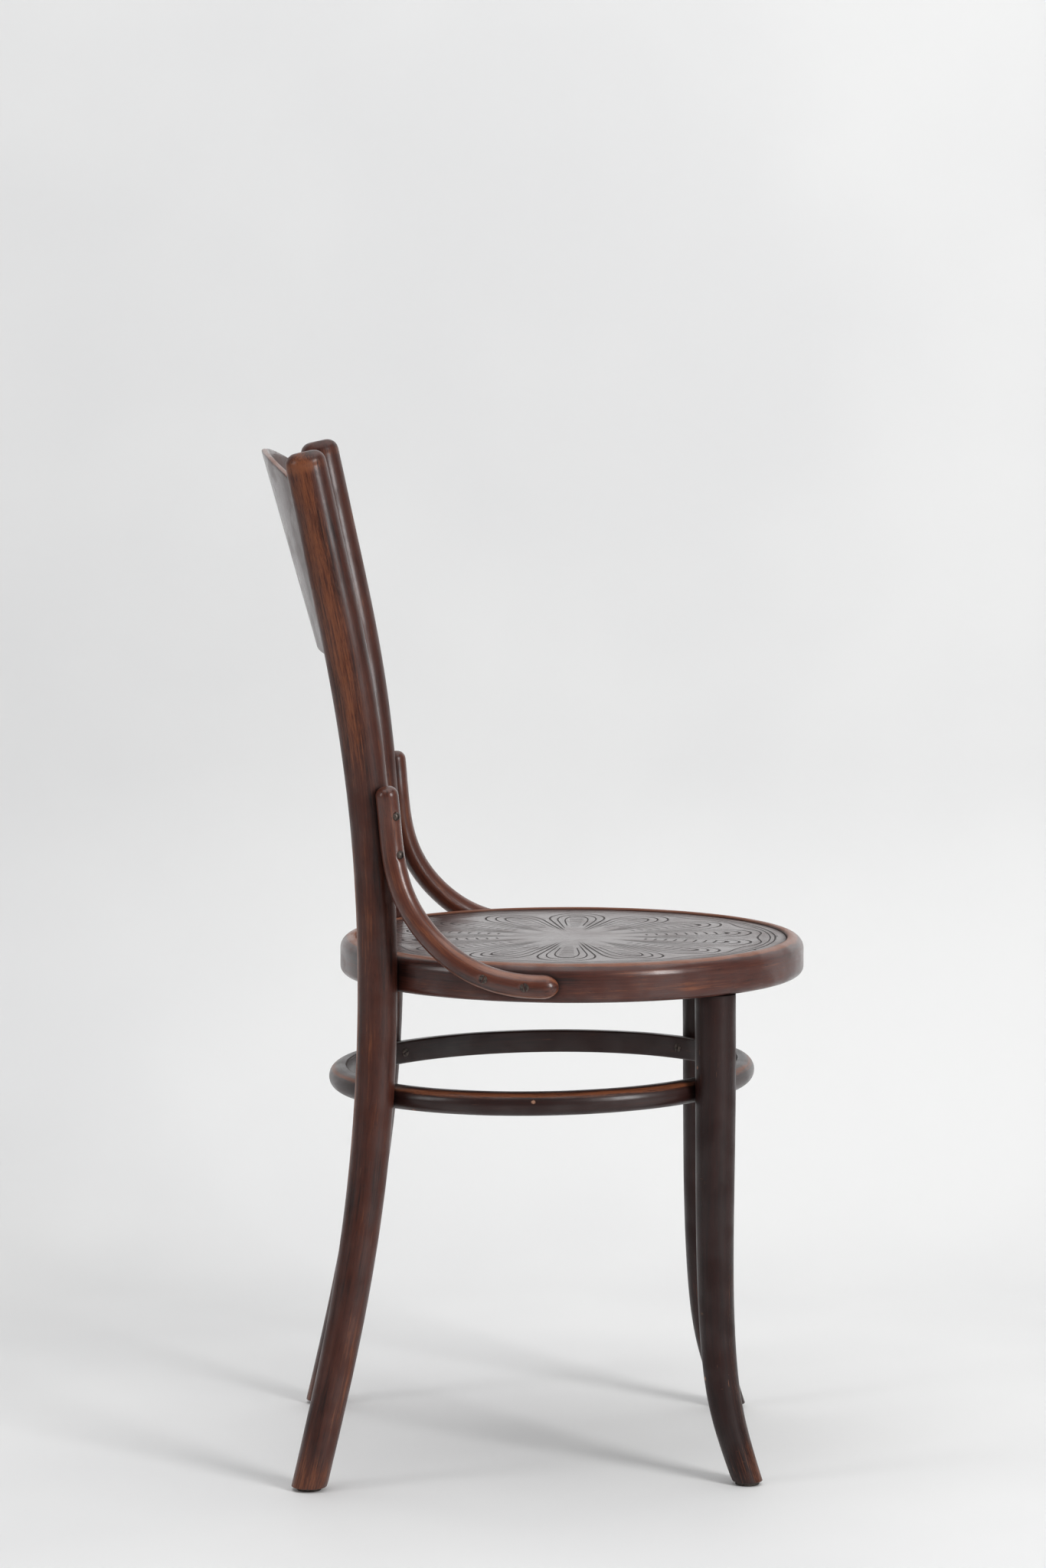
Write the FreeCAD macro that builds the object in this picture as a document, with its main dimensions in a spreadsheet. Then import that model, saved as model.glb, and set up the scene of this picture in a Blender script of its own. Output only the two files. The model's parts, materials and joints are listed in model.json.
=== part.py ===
import FreeCAD, Part
import math
import os
import re
import Sketcher
from FreeCAD import Placement, Rotation, Vector

# A bentwood bistro chair in millimetres and degrees. It faces -Y, and +X is the sitter's left.
# Pieces are drawn about the seat's own axis, then all moved along Y, so that the origin lies
# on the floor under the middle of the whole chair.

SIZES = {
    # seat rim: a bent ring with a rebate for the panel, and a lip outside the rebate
    "seat_height": 460, "rim_radius": 205, "rim_height": 33, "rim_width": 36, "rim_lip": 15,
    "rim_top_round": 11, "rim_bottom_round": 7, "rim_edge_round": 2.5,
    # seat panel: pressed plywood disc
    "seat_panel_thickness": 5, "seat_panel_drop": 2, "seat_panel_round": 1.2,
    # leg ring: a hoop of D section, smaller than the rim, that hangs a little lower at the back
    "ring_inset": 16.4, "ring_thickness": 16, "ring_height": 20.5, "ring_inner_round": 2,
    "ring_outer_flat": 0.4, "ring_drop": 122.4, "ring_back": 26.8, "ring_tilt": 1,
    # how far the posts and legs are housed over the rim and the hoop, and the gap left in a joint
    "rim_housing": 3, "ring_housing": 2, "joint_gap": 0.15,
    # rear posts from the floor up: how far out and back of their place at the seat, and fore-and-aft sizes
    "post_foot_out": 27.74, "post_foot_back": 59.27, "post_foot_size": 31,
    "post_shin_level": 150, "post_shin_out": 16.94, "post_shin_back": 26.87, "post_shin_size": 32,
    "post_ring_angle": 44.5, "post_ring_size": 34,
    "post_seat_angle": 39.5, "post_seat_size": 34.2,
    "post_brace_rise": 110, "post_brace_out": 5.74, "post_brace_back": 5.07, "post_brace_size": 35.2,
    "post_waist_drop": 201.4, "post_waist_out": 12.24, "post_waist_back": 19.87, "post_waist_size": 37.4,
    "post_panel_drop": 101.4, "post_panel_out": 17.74, "post_panel_back": 39.47, "post_panel_size": 37,
    "back_rise": 431.4, "post_top_out": 23.74, "post_top_back": 60.67, "post_top_size": 34.6,
    "post_top_lean": 12.3, "post_top_round": 10, "post_leg_flatness": 0.65, "post_back_flatness": 5.05,
    # front legs from the floor up: how far out and forward of their place at the seat, and diameters
    "leg_foot_out": 8.96, "leg_foot_forward": 28.92, "leg_foot_size": 26.6,
    "leg_ankle_level": 58, "leg_ankle_out": 3.76, "leg_ankle_forward": 12.32, "leg_ankle_size": 29,
    "leg_shin_level": 130, "leg_shin_out": 0.86, "leg_shin_forward": 3.02, "leg_shin_size": 30.6,
    "leg_calf_level": 220, "leg_calf_forward": 0.52, "leg_calf_size": 32.6,
    "leg_ring_angle": 43.4, "leg_ring_size": 34.8,
    "leg_inset": 20, "leg_seat_angle": 49.2, "leg_seat_size": 35.2,
    "tenon_size": 22, "tenon_cover": 6, "tenon_chamfer": 1.5, "tenon_end_gap": 1,
    # back panel: bent plywood let into grooves in the posts, its heights below the posts' tops
    "back_panel_thickness": 6, "back_panel_bottom_drop": 180.4, "back_panel_shoulder_drop": 37.4,
    "back_panel_crown": 35, "back_panel_arch": 5, "back_panel_low_bulge": 23.6, "back_panel_high_bulge": 38,
    "back_panel_offset": 3, "back_panel_edge_round": 1.5, "groove_depth": 9, "back_panel_trim": 6,
    # side braces: a round rod, straight down the post, bent, then round the rim to its nose
    "brace_size": 19.5, "brace_nose_size": 20.5, "brace_straight": 40, "brace_bend": 126, "brace_tail": 24,
    "brace_rim_sink": 1.5, "brace_rim_offset": 3, "brace_planing": 1.5, "brace_end_round": 8,
    "brace_turn_angle": 3,
    # round-head and flat-head slotted wood screws
    "dome_head_size": 7.4, "dome_head_height": 2.6, "dome_shank_size": 3.8, "dome_length": 27,
    "flat_head_size": 7.6, "flat_head_depth": 2.2, "flat_shank_size": 3.8, "flat_length": 26,
    "slot_width": 1, "slot_depth": 1, "screw_tip": 4, "head_sink": 0.6,
    "brace_screw_high_drop": 25, "brace_screw_low_drop": 58, "rim_screw_rear_inset": 61.8,
    "rim_screw_front_inset": 27.3,
    # coach screws and washers that hold the posts to the rim
    "coach_size": 8, "coach_length": 52, "coach_head_across": 13, "coach_head_height": 5.5,
    "coach_above_rim_base": 13, "washer_size": 22, "washer_thickness": 2, "spot_face": 1.6,
    "spot_clearance": 1,
    # brads and pins
    "seat_pin_size": 1.6, "seat_pin_head_size": 3, "seat_pin_head_height": 0.8, "seat_pin_length": 12,
    "seat_pin_inset": 8.5, "seat_pin_count": 12,
    "back_pin_size": 1.8, "back_pin_length": 18, "back_pin_sink": 1,
    "back_pin_low_drop": 149.4, "back_pin_high_drop": 53.4,
    # nailed glides under the feet
    "glide_size": 21, "glide_thickness": 3, "glide_round": 1, "glide_nail_size": 2.6, "glide_nail_length": 14,
}

SIDES = {"left": 1, "right": -1}
FINE = 0.01
NEAR = 1

doc = FreeCAD.newDocument("BentwoodChair")
book = doc.addObject("Spreadsheet::Sheet", "Sizes")
for row, (alias, size) in enumerate(SIZES.items(), start=1):
    book.set(f"A{row}", alias)
    book.set(f"B{row}", str(size))
    book.setAlias(f"B{row}", alias)
doc.recompute()


# Values and bindings

def linked(formula):
    """The formula with every size's name pointed at the sheet."""
    return re.sub(r"[a-z]\w*", lambda m: f"Sizes.{m[0]}" if m[0] in SIZES else m[0], formula)


def number(formula):
    return float(book.evalExpression(linked(formula)))


def bind(item, path, formula):
    item.setExpression(path, linked(formula))


def polar(reach, angle, side=1):
    """A place at a distance from the seat's axis, the angle counted from the rear."""
    turn = math.radians(angle)
    return Vector(side * reach * math.sin(turn), reach * math.cos(turn), 0)


# Sketches

def new_body(label):
    body = doc.addObject("PartDesign::Body", label)
    body.Label = label
    bind(body, "Placement.Base.y", SHIFT)
    return body


def sketch_on(body, name, place=Placement(), role="XY_Plane"):
    plane = next(item for item in body.Origin.OriginFeatures if item.Role == role)
    sketch = body.newObject("Sketcher::SketchObject", name)
    sketch.AttachmentSupport = [(plane, "")]
    sketch.MapMode = "FlatFace"
    sketch.AttachmentOffset = place
    return sketch


def pin_down(sketch, geometry, end, axis, formula):
    """Fix one coordinate of a point to a formula of the sheet's sizes."""
    value = number(formula)
    if abs(value) < 1e-6:
        sketch.addConstraint(Sketcher.Constraint("PointOnObject", geometry, end, -2 if axis == "X" else -1))
        return
    kind = "Distance" + axis
    if value > 0:
        index = sketch.addConstraint(Sketcher.Constraint(kind, -1, 1, geometry, end, value))
        bind(sketch, f"Constraints[{index}]", formula)
    else:
        index = sketch.addConstraint(Sketcher.Constraint(kind, geometry, end, -1, 1, -value))
        bind(sketch, f"Constraints[{index}]", f"-({formula})")


def circle(sketch, diameter, x="0", y="0"):
    middle = Vector(number(x), number(y), 0)
    sketch.addGeometry(Part.Circle(middle, Vector(0, 0, 1), number(diameter) / 2))
    index = sketch.addConstraint(Sketcher.Constraint("Diameter", 0, number(diameter)))
    bind(sketch, f"Constraints[{index}]", diameter)
    pin_down(sketch, 0, 3, "X", x)
    pin_down(sketch, 0, 3, "Y", y)


def oval(sketch, size, flatness, x="0", y="0"):
    """An ellipse, its size along the sketch's Y axis and less by its flatness across it."""
    middle = Vector(number(x), number(y), 0)
    long_half = number(size) / 2
    short_half = number(f"{size} - {flatness}") / 2
    far, beside = middle + Vector(0, long_half, 0), middle + Vector(short_half, 0, 0)
    sketch.addGeometry(Part.Ellipse(far, beside, middle))
    sketch.exposeInternalGeometry(0)
    for axis, formula in ((1, size), (2, f"{size} - {flatness}")):
        index = sketch.addConstraint(Sketcher.Constraint("Distance", axis, number(formula)))
        bind(sketch, f"Constraints[{index}]", formula)
    sketch.addConstraint(Sketcher.Constraint("Vertical", 1))
    pin_down(sketch, 0, 3, "X", x)
    pin_down(sketch, 0, 3, "Y", y)


def polygon(sketch, corners):
    points = [Vector(number(x), number(y), 0) for x, y in corners]
    last = len(points) - 1
    for index, point in enumerate(points):
        following = points[0 if index == last else index + 1]
        sketch.addGeometry(Part.LineSegment(point, following))
    for index, (x, y) in enumerate(corners):
        following = 0 if index == last else index + 1
        sketch.addConstraint(Sketcher.Constraint("Coincident", index, 2, following, 1))
        pin_down(sketch, index, 1, "X", x)
        pin_down(sketch, index, 1, "Y", y)


def rounded_outline(sketch, corners):
    """A closed outline of level and upright lines. A corner is (x, y) or (x, y, radius)."""
    count = len(corners)
    points = [Vector(number(corner[0]), number(corner[1]), 0) for corner in corners]
    radii = [number(corner[2]) if len(corner) == 3 else 0 for corner in corners]
    ways = [(points[(index + 1) % count] - points[index]).normalize() for index in range(count)]
    for index in range(count):
        start = points[index] + ways[index] * radii[index]
        end = points[(index + 1) % count] - ways[index] * radii[(index + 1) % count]
        sketch.addGeometry(Part.LineSegment(start, end))
        level = abs(ways[index].y) < 1e-9
        sketch.addConstraint(Sketcher.Constraint("Horizontal" if level else "Vertical", index))
        pin_down(sketch, index, 1, "Y" if level else "X", corners[index][1 if level else 0])
    for index, radius in enumerate(radii):
        before = (index - 1) % count
        if not radius:
            sketch.addConstraint(Sketcher.Constraint("Coincident", before, 2, index, 1))
            continue
        start = points[index] - ways[before] * radius
        end = points[index] + ways[index] * radius
        middle = points[index] + (ways[index] - ways[before]) * radius * (1 - math.sqrt(0.5))
        arc = sketch.addGeometry(Part.Arc(start, middle, end))
        turns_left = ways[before].cross(ways[index]).z > 0
        first, second = (1, 2) if turns_left else (2, 1)
        sketch.addConstraint(Sketcher.Constraint("Tangent", before, 2, arc, first))
        sketch.addConstraint(Sketcher.Constraint("Tangent", index, 1, arc, second))
        rule = sketch.addConstraint(Sketcher.Constraint("Radius", arc, radius))
        bind(sketch, f"Constraints[{rule}]", corners[index][2])


# Features

def checked_cut(body, feature):
    """Recompute and make sure that the feature changed the solid before it."""
    doc.recompute()
    before, after = feature.BaseFeature.Shape, feature.Shape
    if after.Volume > before.Volume - FINE and len(after.Faces) == len(before.Faces):
        raise RuntimeError(f"{feature.Label} of {body.Label} cuts nothing")


def turned(body, sketch, name, cut=False):
    feature = body.newObject("PartDesign::Groove" if cut else "PartDesign::Revolution", name)
    feature.Profile = sketch
    feature.ReferenceAxis = (sketch, ["V_Axis"])
    feature.Angle = 360
    if cut:
        checked_cut(body, feature)
    return feature


def pocket(body, sketch, name, depth):
    feature = body.newObject("PartDesign::Pocket", name)
    feature.Profile = sketch
    bind(feature, "Length", depth)
    checked_cut(body, feature)
    return feature


def pad(body, sketch, name, length):
    feature = body.newObject("PartDesign::Pad", name)
    feature.Profile = sketch
    bind(feature, "Length", length)
    return feature


def lofted(body, sketches, name, cut=False):
    feature = body.newObject("PartDesign::SubtractiveLoft" if cut else "PartDesign::AdditiveLoft", name)
    feature.Profile = sketches[0]
    feature.Sections = sketches[1:]
    feature.Ruled = len(sketches) == 2
    if cut:
        checked_cut(body, feature)
    return feature


def soften(body, kind, name, formula, wanted):
    """A fillet or chamfer on the edges that wanted() picks."""
    doc.recompute()
    base = body.Tip
    edges = [f"Edge{index}" for index, edge in enumerate(base.Shape.Edges, start=1) if wanted(edge)]
    feature = body.newObject(f"PartDesign::{kind}", name)
    feature.Base = (base, edges)
    bind(feature, "Radius" if kind == "Fillet" else "Size", formula)
    doc.recompute()
    return feature


def at_height(level):
    return lambda edge: abs(edge.BoundBox.ZMin - level) < FINE and abs(edge.BoundBox.ZMax - level) < FINE


# Places that several pieces share

SHIFT = "(rim_radius - back_reach) / 2"
RIM_BASE = "(seat_height - rim_height)"
RIM_TOP_ROUND = "min(rim_top_round; rim_lip - rim_edge_round - 2 * joint_gap)"
PANEL_RADIUS = "(rim_radius - rim_lip)"
PANEL_TOP = "(seat_height - seat_panel_drop)"
LEDGE = f"({PANEL_TOP} - seat_panel_thickness)"
PIN_CIRCLE = f"({PANEL_RADIUS} - seat_pin_inset)"
RING_RADIUS = "(rim_radius - ring_inset)"
RING_LEVEL = "(seat_height - ring_drop)"
POST_TOP = "(seat_height + back_rise)"
PANEL_BOTTOM = f"({POST_TOP} - back_panel_bottom_drop)"
PANEL_SHOULDER = f"({POST_TOP} - back_panel_shoulder_drop)"
BRACE_RIM_LEVEL = "(seat_height - rim_height / 2 - brace_rim_sink)"
BRACE_CENTRE = f"({BRACE_RIM_LEVEL} + brace_bend)"
BRACE_TOP = f"({BRACE_CENTRE} + brace_straight)"
BRACE_SCREWS = {"high": f"{BRACE_TOP} - brace_screw_high_drop", "low": f"{BRACE_TOP} - brace_screw_low_drop"}
RIM_SCREWS = {"rear": "rim_screw_rear_inset", "front": "rim_screw_front_inset"}
BACK_PINS = {"low": f"{POST_TOP} - back_pin_low_drop", "high": f"{POST_TOP} - back_pin_high_drop"}
TENON_TOP = f"({LEDGE} - tenon_cover)"

POST_RING_REACH = f"({RING_RADIUS} - ring_housing + (2 * post_ring_size - post_leg_flatness) / 4)"
POST_SEAT_REACH = "(rim_radius - rim_housing + (2 * post_seat_size - post_leg_flatness) / 4)"
POST_X = f"{POST_SEAT_REACH} * sin(post_seat_angle)"
POST_Y = f"{POST_SEAT_REACH} * cos(post_seat_angle)"
LEG_RING_REACH = f"({RING_RADIUS} - ring_housing + leg_ring_size / 2)"
LEG_X = "(rim_radius - leg_inset) * sin(leg_seat_angle)"
LEG_Y = "-(rim_radius - leg_inset) * cos(leg_seat_angle)"
BRACE_POST_FLATNESS = "(post_leg_flatness + post_back_flatness) / 2"

# each station: height, x, y, size, flatness
POST_STATIONS = [
    ("glide_thickness", f"{POST_X} + post_foot_out", f"{POST_Y} + post_foot_back", "post_foot_size",
     "post_leg_flatness"),
    ("post_shin_level", f"{POST_X} + post_shin_out", f"{POST_Y} + post_shin_back", "post_shin_size",
     "post_leg_flatness"),
    (RING_LEVEL, f"{POST_RING_REACH} * sin(post_ring_angle)",
     f"ring_back + {POST_RING_REACH} * cos(post_ring_angle)", "post_ring_size", "post_leg_flatness"),
    (f"{RIM_BASE} + rim_height / 2", POST_X, POST_Y, "post_seat_size", "post_leg_flatness"),
    ("seat_height + post_brace_rise", f"{POST_X} + post_brace_out", f"{POST_Y} + post_brace_back",
     "post_brace_size", BRACE_POST_FLATNESS),
    (f"{POST_TOP} - post_waist_drop", f"{POST_X} + post_waist_out", f"{POST_Y} + post_waist_back",
     "post_waist_size", "post_back_flatness"),
    (f"{POST_TOP} - post_panel_drop", f"{POST_X} + post_panel_out", f"{POST_Y} + post_panel_back",
     "post_panel_size", "post_back_flatness"),
    (POST_TOP, f"{POST_X} + post_top_out", f"{POST_Y} + post_top_back", "post_top_size",
     "post_back_flatness"),
]
LEG_STATIONS = [
    ("glide_thickness", f"{LEG_X} + leg_foot_out", f"{LEG_Y} - leg_foot_forward", "leg_foot_size"),
    ("leg_ankle_level", f"{LEG_X} + leg_ankle_out", f"{LEG_Y} - leg_ankle_forward", "leg_ankle_size"),
    ("leg_shin_level", f"{LEG_X} + leg_shin_out", f"{LEG_Y} - leg_shin_forward", "leg_shin_size"),
    ("leg_calf_level", LEG_X, f"{LEG_Y} - leg_calf_forward", "leg_calf_size"),
    (RING_LEVEL, f"{LEG_RING_REACH} * sin(leg_ring_angle)",
     f"ring_back - {LEG_RING_REACH} * cos(leg_ring_angle)", "leg_ring_size"),
    (f"{RIM_BASE} - joint_gap", LEG_X, LEG_Y, "leg_seat_size"),
]


def through(points):
    curve = Part.BSplineCurve()
    curve.interpolate(points)
    return curve


POST_LINE = through([Vector(number(x), number(y), number(level)) for level, x, y, *rest in POST_STATIONS])


def parameter_at(curve, reading, wanted):
    """Where along the curve a reading of its point, which grows along it, has the wanted value."""
    low, high = curve.FirstParameter, curve.LastParameter
    for step in range(50):
        middle = (low + high) / 2
        if reading(curve.value(middle)) < wanted:
            low = middle
        else:
            high = middle
    return low


def post_way(level, side=1):
    """The direction in which the left post runs at a height, or the right one with side -1."""
    way = POST_LINE.tangent(parameter_at(POST_LINE, lambda point: point.z, level))[0]
    return Vector(side * way.x, way.y, way.z)


def on_post(level, side=1):
    """The left post's centre at a height, or the right one's. Past an end it goes straight on."""
    point = POST_LINE.value(parameter_at(POST_LINE, lambda point: point.z, level))
    way = post_way(level)
    point += way * ((level - point.z) / way.z)
    return Vector(side * point.x, point.y, level)


# The back panel

def panel_section(level, grow="0"):
    """Height, half width, end depth, bulge and half thickness of the bent sheet at a height."""
    bottom = number(f"{PANEL_BOTTOM} - back_panel_trim")
    top = number(f"{PANEL_SHOULDER} + back_panel_crown + back_panel_trim")
    height, extra = number(level), number(grow)
    share = (height - bottom) / (top - bottom)
    ends = []
    for end, size in ((bottom, "post_waist_size"), (top, "post_top_size")):
        post = on_post(end)
        ends.append((post.x - number(f"({size} - post_back_flatness) / 2 - groove_depth"),
                     post.y + number("back_panel_offset")))
    half = ends[0][0] + (ends[1][0] - ends[0][0]) * share
    depth = ends[0][1] + (ends[1][1] - ends[0][1]) * share
    bulge = number("back_panel_low_bulge") + number("back_panel_high_bulge - back_panel_low_bulge") * share
    return height, half + extra, depth, bulge, number("back_panel_thickness") / 2 + extra


def edge_height(end_level, rise, inset="0"):
    """Height of the panel's arched top or bottom edge at a distance in from its end."""
    half = panel_section(PANEL_SHOULDER)[1]
    radius = (half * half + rise * rise) / (2 * rise)
    across = half - number(inset)
    return number(end_level) + rise - radius + math.sqrt(radius * radius - across * across)


crest = panel_section(f"{PANEL_SHOULDER} + back_panel_crown")
book.set(f"A{len(SIZES) + 1}", "back_reach")
book.set(f"B{len(SIZES) + 1}", str(crest[2] + crest[3] + crest[4]))
book.setAlias(f"B{len(SIZES) + 1}", "back_reach")
SIZES["back_reach"] = crest[2] + crest[3] + crest[4]
doc.recompute()


# Fasteners: each outline is turned about the sketch's Y axis, the head's outer face at y = 0

def dome_screw(grow="0"):
    return [("0", f"-dome_length - screw_tip - {grow}"), (f"dome_shank_size / 2 + {grow}", "-dome_length"),
            (f"dome_shank_size / 2 + {grow}", "-dome_head_height"),
            (f"dome_head_size / 2 + {grow}", "-dome_head_height"), (f"dome_head_size / 2 + {grow}", grow),
            ("0", grow)]


def flat_screw(grow="0"):
    """The screw, or with grow its hole, which opens wide above the head."""
    shaft = [("0", f"-flat_length - screw_tip - {grow}"), (f"flat_shank_size / 2 + {grow}", "-flat_length"),
             (f"flat_shank_size / 2 + {grow}", "-flat_head_depth"), (f"flat_head_size / 2 + {grow}", "0")]
    above = [(f"flat_head_size / 2 + {grow}", "flat_head_depth"), ("0", "flat_head_depth")]
    return shaft + ([("0", "0")] if grow == "0" else above)


def coach_shank(grow="0"):
    """From the washer's outer face inwards; the head is on the other side."""
    return [("0", f"-coach_length - {grow}"), (f"coach_size / 2 + {grow}", "-coach_length + coach_size / 2"),
            (f"coach_size / 2 + {grow}", "0"), ("0", "0")]


def headed_brad(length, size, head, head_height):
    def outline(grow="0"):
        tip, neck = f"-{length} - {grow}", f"-{head_height} - {grow}"
        return [("0", tip), (f"{size} / 2 + {grow}", tip), (f"{size} / 2 + {grow}", neck),
                (f"{head} / 2 + {grow}", neck), (f"{head} / 2 + {grow}", grow), ("0", grow)]
    return outline


seat_brad = headed_brad("seat_pin_length", "seat_pin_size", "seat_pin_head_size", "seat_pin_head_height")


def back_brad(grow="0"):
    tip, half = f"-back_pin_length - {grow}", f"back_pin_size / 2 + {grow}"
    return [("0", tip), (half, tip), (half, grow), ("0", grow)]


def glide_nail(grow="0"):
    return [("0", "0"), (f"glide_nail_size / 2 + {grow}", "0"),
            (f"glide_nail_size / 2 + {grow}", "glide_nail_length - glide_nail_size"),
            ("0", f"glide_nail_length + {grow}")]


def driven(point, outward):
    """A placement whose Y axis points out of the wood at the screw's head."""
    return Placement(point, Rotation(Vector(0, 1, 0), outward))


def bore(body, name, place, outline):
    sketch = sketch_on(body, f"{name}_outline", place)
    polygon(sketch, outline("joint_gap"))
    return turned(body, sketch, name, cut=True)


def rim_corners(grow="0"):
    outer, top, base = f"rim_radius + {grow}", f"seat_height + {grow}", f"{RIM_BASE} - {grow}"
    return [("rim_radius - rim_width", base), (outer, base, "rim_bottom_round"),
            (outer, top, RIM_TOP_ROUND)], top, base


def ring_corners(grow="0"):
    half, outer = f"(ring_height / 2 + {grow})", f"{RING_RADIUS} + {grow}"
    inner = f"{RING_RADIUS} - ring_thickness"
    rounding = f"{half} - ring_outer_flat / 2"
    return [(inner, f"-{half}", "ring_inner_round"), (outer, f"-{half}", rounding), (outer, half, rounding),
            (inner, half, "ring_inner_round")]


def ring_place():
    """The hoop's own axis: behind the seat's axis and leaning by the tilt. Sketch X is the chair's Y."""
    return Placement(Vector(number("ring_back"), number(RING_LEVEL), 0),
                     Rotation(Vector(0, 0, 1), -number("ring_tilt")))


def house_rim(body):
    corners, top, base = rim_corners("joint_gap")
    sketch = sketch_on(body, "rim_housing_outline", role="XZ_Plane")
    rounded_outline(sketch, corners + [("rim_radius - rim_width", top)])
    turned(body, sketch, "RimHousing", cut=True)


def house_ring(body):
    sketch = sketch_on(body, "ring_housing_outline", ring_place(), "YZ_Plane")
    rounded_outline(sketch, ring_corners("joint_gap"))
    turned(body, sketch, "RingHousing", cut=True)


# Fastener places

def coach_place(side):
    out = polar(1, -side * number("post_seat_angle"))
    out.x = -out.x
    reach = number("rim_radius - rim_width + spot_face - washer_thickness")
    point = Vector(out.x * reach, out.y * reach, number(f"{RIM_BASE} + coach_above_rim_base"))
    return driven(point, -out)


def ring_screw_place(side, front):
    angle = number("leg_ring_angle" if front else "post_ring_angle")
    way = -1 if front else 1
    out = Vector(side * math.sin(math.radians(angle)), way * math.cos(math.radians(angle)), 0)
    reach = number(f"{RING_RADIUS} - ring_thickness + head_sink / 2")
    drop = out.y * reach * math.tan(math.radians(number("ring_tilt")))
    point = Vector(out.x * reach, number("ring_back") + out.y * reach, number(RING_LEVEL) - drop)
    return driven(point, -out)


def brace_way(side):
    """The level direction from the post's centre to the brace's centre."""
    start = on_post(number(BRACE_CENTRE))
    turn = math.radians(number("post_seat_angle / 2 + brace_turn_angle")) + math.atan2(start.x, start.y) / 2
    return Vector(side * math.cos(turn), -math.sin(turn), 0)


def brace_post_half():
    return number(f"(2 * post_brace_size - {BRACE_POST_FLATNESS}) / 4")


def brace_reach():
    """From the post's centre to the centre of the brace."""
    return brace_post_half() + number("brace_size / 2 - brace_planing")


def brace_screw_place(level, side):
    way = brace_way(side)
    reach = brace_reach() + number("brace_size / 2 + dome_head_height - head_sink")
    return driven(on_post(level, side) + way * reach, way)


def brace_line(side):
    """Centre points of the brace, from its top to its nose, and the direction at each."""
    centre_level = number(BRACE_CENTRE)
    way = brace_way(1)
    start = on_post(centre_level) + way * brace_reach()
    start_reach, start_turn = math.hypot(start.x, start.y), math.atan2(start.x, start.y)
    rim_reach = number("rim_radius + brace_rim_offset")
    mean = (start_reach + rim_reach) / 2
    bend = number("brace_bend")
    points = []
    for level in (number(BRACE_TOP), number(f"{BRACE_CENTRE} + brace_straight / 2")):
        points.append(on_post(level) + way * brace_reach())
    for step in range(5):
        angle = math.radians(22.5 * step)
        share = step / 4
        reach = start_reach + (rim_reach - start_reach) * share * share * (3 - 2 * share)
        turn = start_turn + bend * (1 - math.cos(angle)) / mean
        points.append(Vector(reach * math.sin(turn), reach * math.cos(turn),
                             centre_level - bend * math.sin(angle)))
    turn += number("brace_tail") / rim_reach
    points.append(Vector(rim_reach * math.sin(turn), rim_reach * math.cos(turn), points[-1].z))
    curve = through(points)
    ways = [curve.tangent(curve.parameter(point))[0] for point in points]
    return [(Vector(side * point.x, point.y, point.z), Vector(side * way.x, way.y, way.z))
            for point, way in zip(points, ways)]


def rim_screw_place(inset, side):
    """A flat-head screw through the brace into the rim, a little way back from the brace's nose."""
    line = [point for point, way in brace_line(1)]
    curve = through(line)
    nose = math.atan2(line[-1].x, line[-1].y)
    angle = nose - number(inset) / math.hypot(line[-1].x, line[-1].y)
    point = curve.value(parameter_at(curve, lambda point: math.atan2(point.x, point.y), angle))
    out = polar(1, math.degrees(angle), side)
    reach = math.hypot(point.x, point.y) + number("brace_nose_size / 2 - head_sink")
    return driven(Vector(out.x * reach, out.y * reach, point.z), out)


def back_pin_place(level, side):
    """A brad from the back of the post, across its groove."""
    way = post_way(level, side)
    out = Vector(0, way.z, -way.y).normalize()
    half_width = number("(post_panel_size - post_back_flatness) / 2")
    inset = half_width - number("groove_depth / 2")
    depth = number("post_panel_size / 2") * math.sqrt(1 - (inset / half_width) ** 2)
    inward = Vector(-side * inset, 0, 0)
    return driven(on_post(level, side) + inward + out * (depth - number("back_pin_sink")), out)


# Wooden pieces

def make_rim():
    body = new_body("seat_rim")
    outline = sketch_on(body, "rim_outline", role="XZ_Plane")
    corners, top, base = rim_corners()
    rebate = f"{PANEL_RADIUS} + joint_gap"
    rounded_outline(outline, corners + [(rebate, top, "rim_edge_round"), (rebate, LEDGE),
                                        ("rim_radius - rim_width", LEDGE)])
    turned(body, outline, "BentRing")
    for side_name, side in SIDES.items():
        place = Placement(Vector(0, 0, number(RIM_BASE)), Rotation(Vector(1, 0, 0), 180))
        mortise = sketch_on(body, f"tenon_{side_name}", place)
        circle(mortise, "tenon_size + 2 * joint_gap", f"{side} * {LEG_X}", f"-({LEG_Y})")
        pocket(body, mortise, f"TenonHole_{side_name}", f"{TENON_TOP} - {RIM_BASE} + tenon_end_gap")
        bore(body, f"CoachHole_{side_name}", coach_place(side), coach_shank)
        facing = coach_place(side)
        facing.Base = facing.Base + facing.Rotation.multVec(Vector(0, number("spot_face"), 0))
        facing.Rotation = facing.Rotation * Rotation(Vector(1, 0, 0), -90)
        spot = sketch_on(body, f"spot_{side_name}", facing)
        circle(spot, "washer_size + spot_clearance")
        pocket(body, spot, f"SpotFace_{side_name}", "spot_face + washer_thickness")
        for name, inset in RIM_SCREWS.items():
            bore(body, f"BraceScrew_{name}_{side_name}", rim_screw_place(inset, side), flat_screw)
    hole = bore(body, "BradHole", seat_brad_place(0), seat_brad)
    ring_of(body, hole, "BradHoles", "seat_pin_count")
    return body


def seat_brad_place(angle):
    return driven(polar(number(PIN_CIRCLE), angle) + Vector(0, 0, number(PANEL_TOP)), Vector(0, 0, 1))


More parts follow.
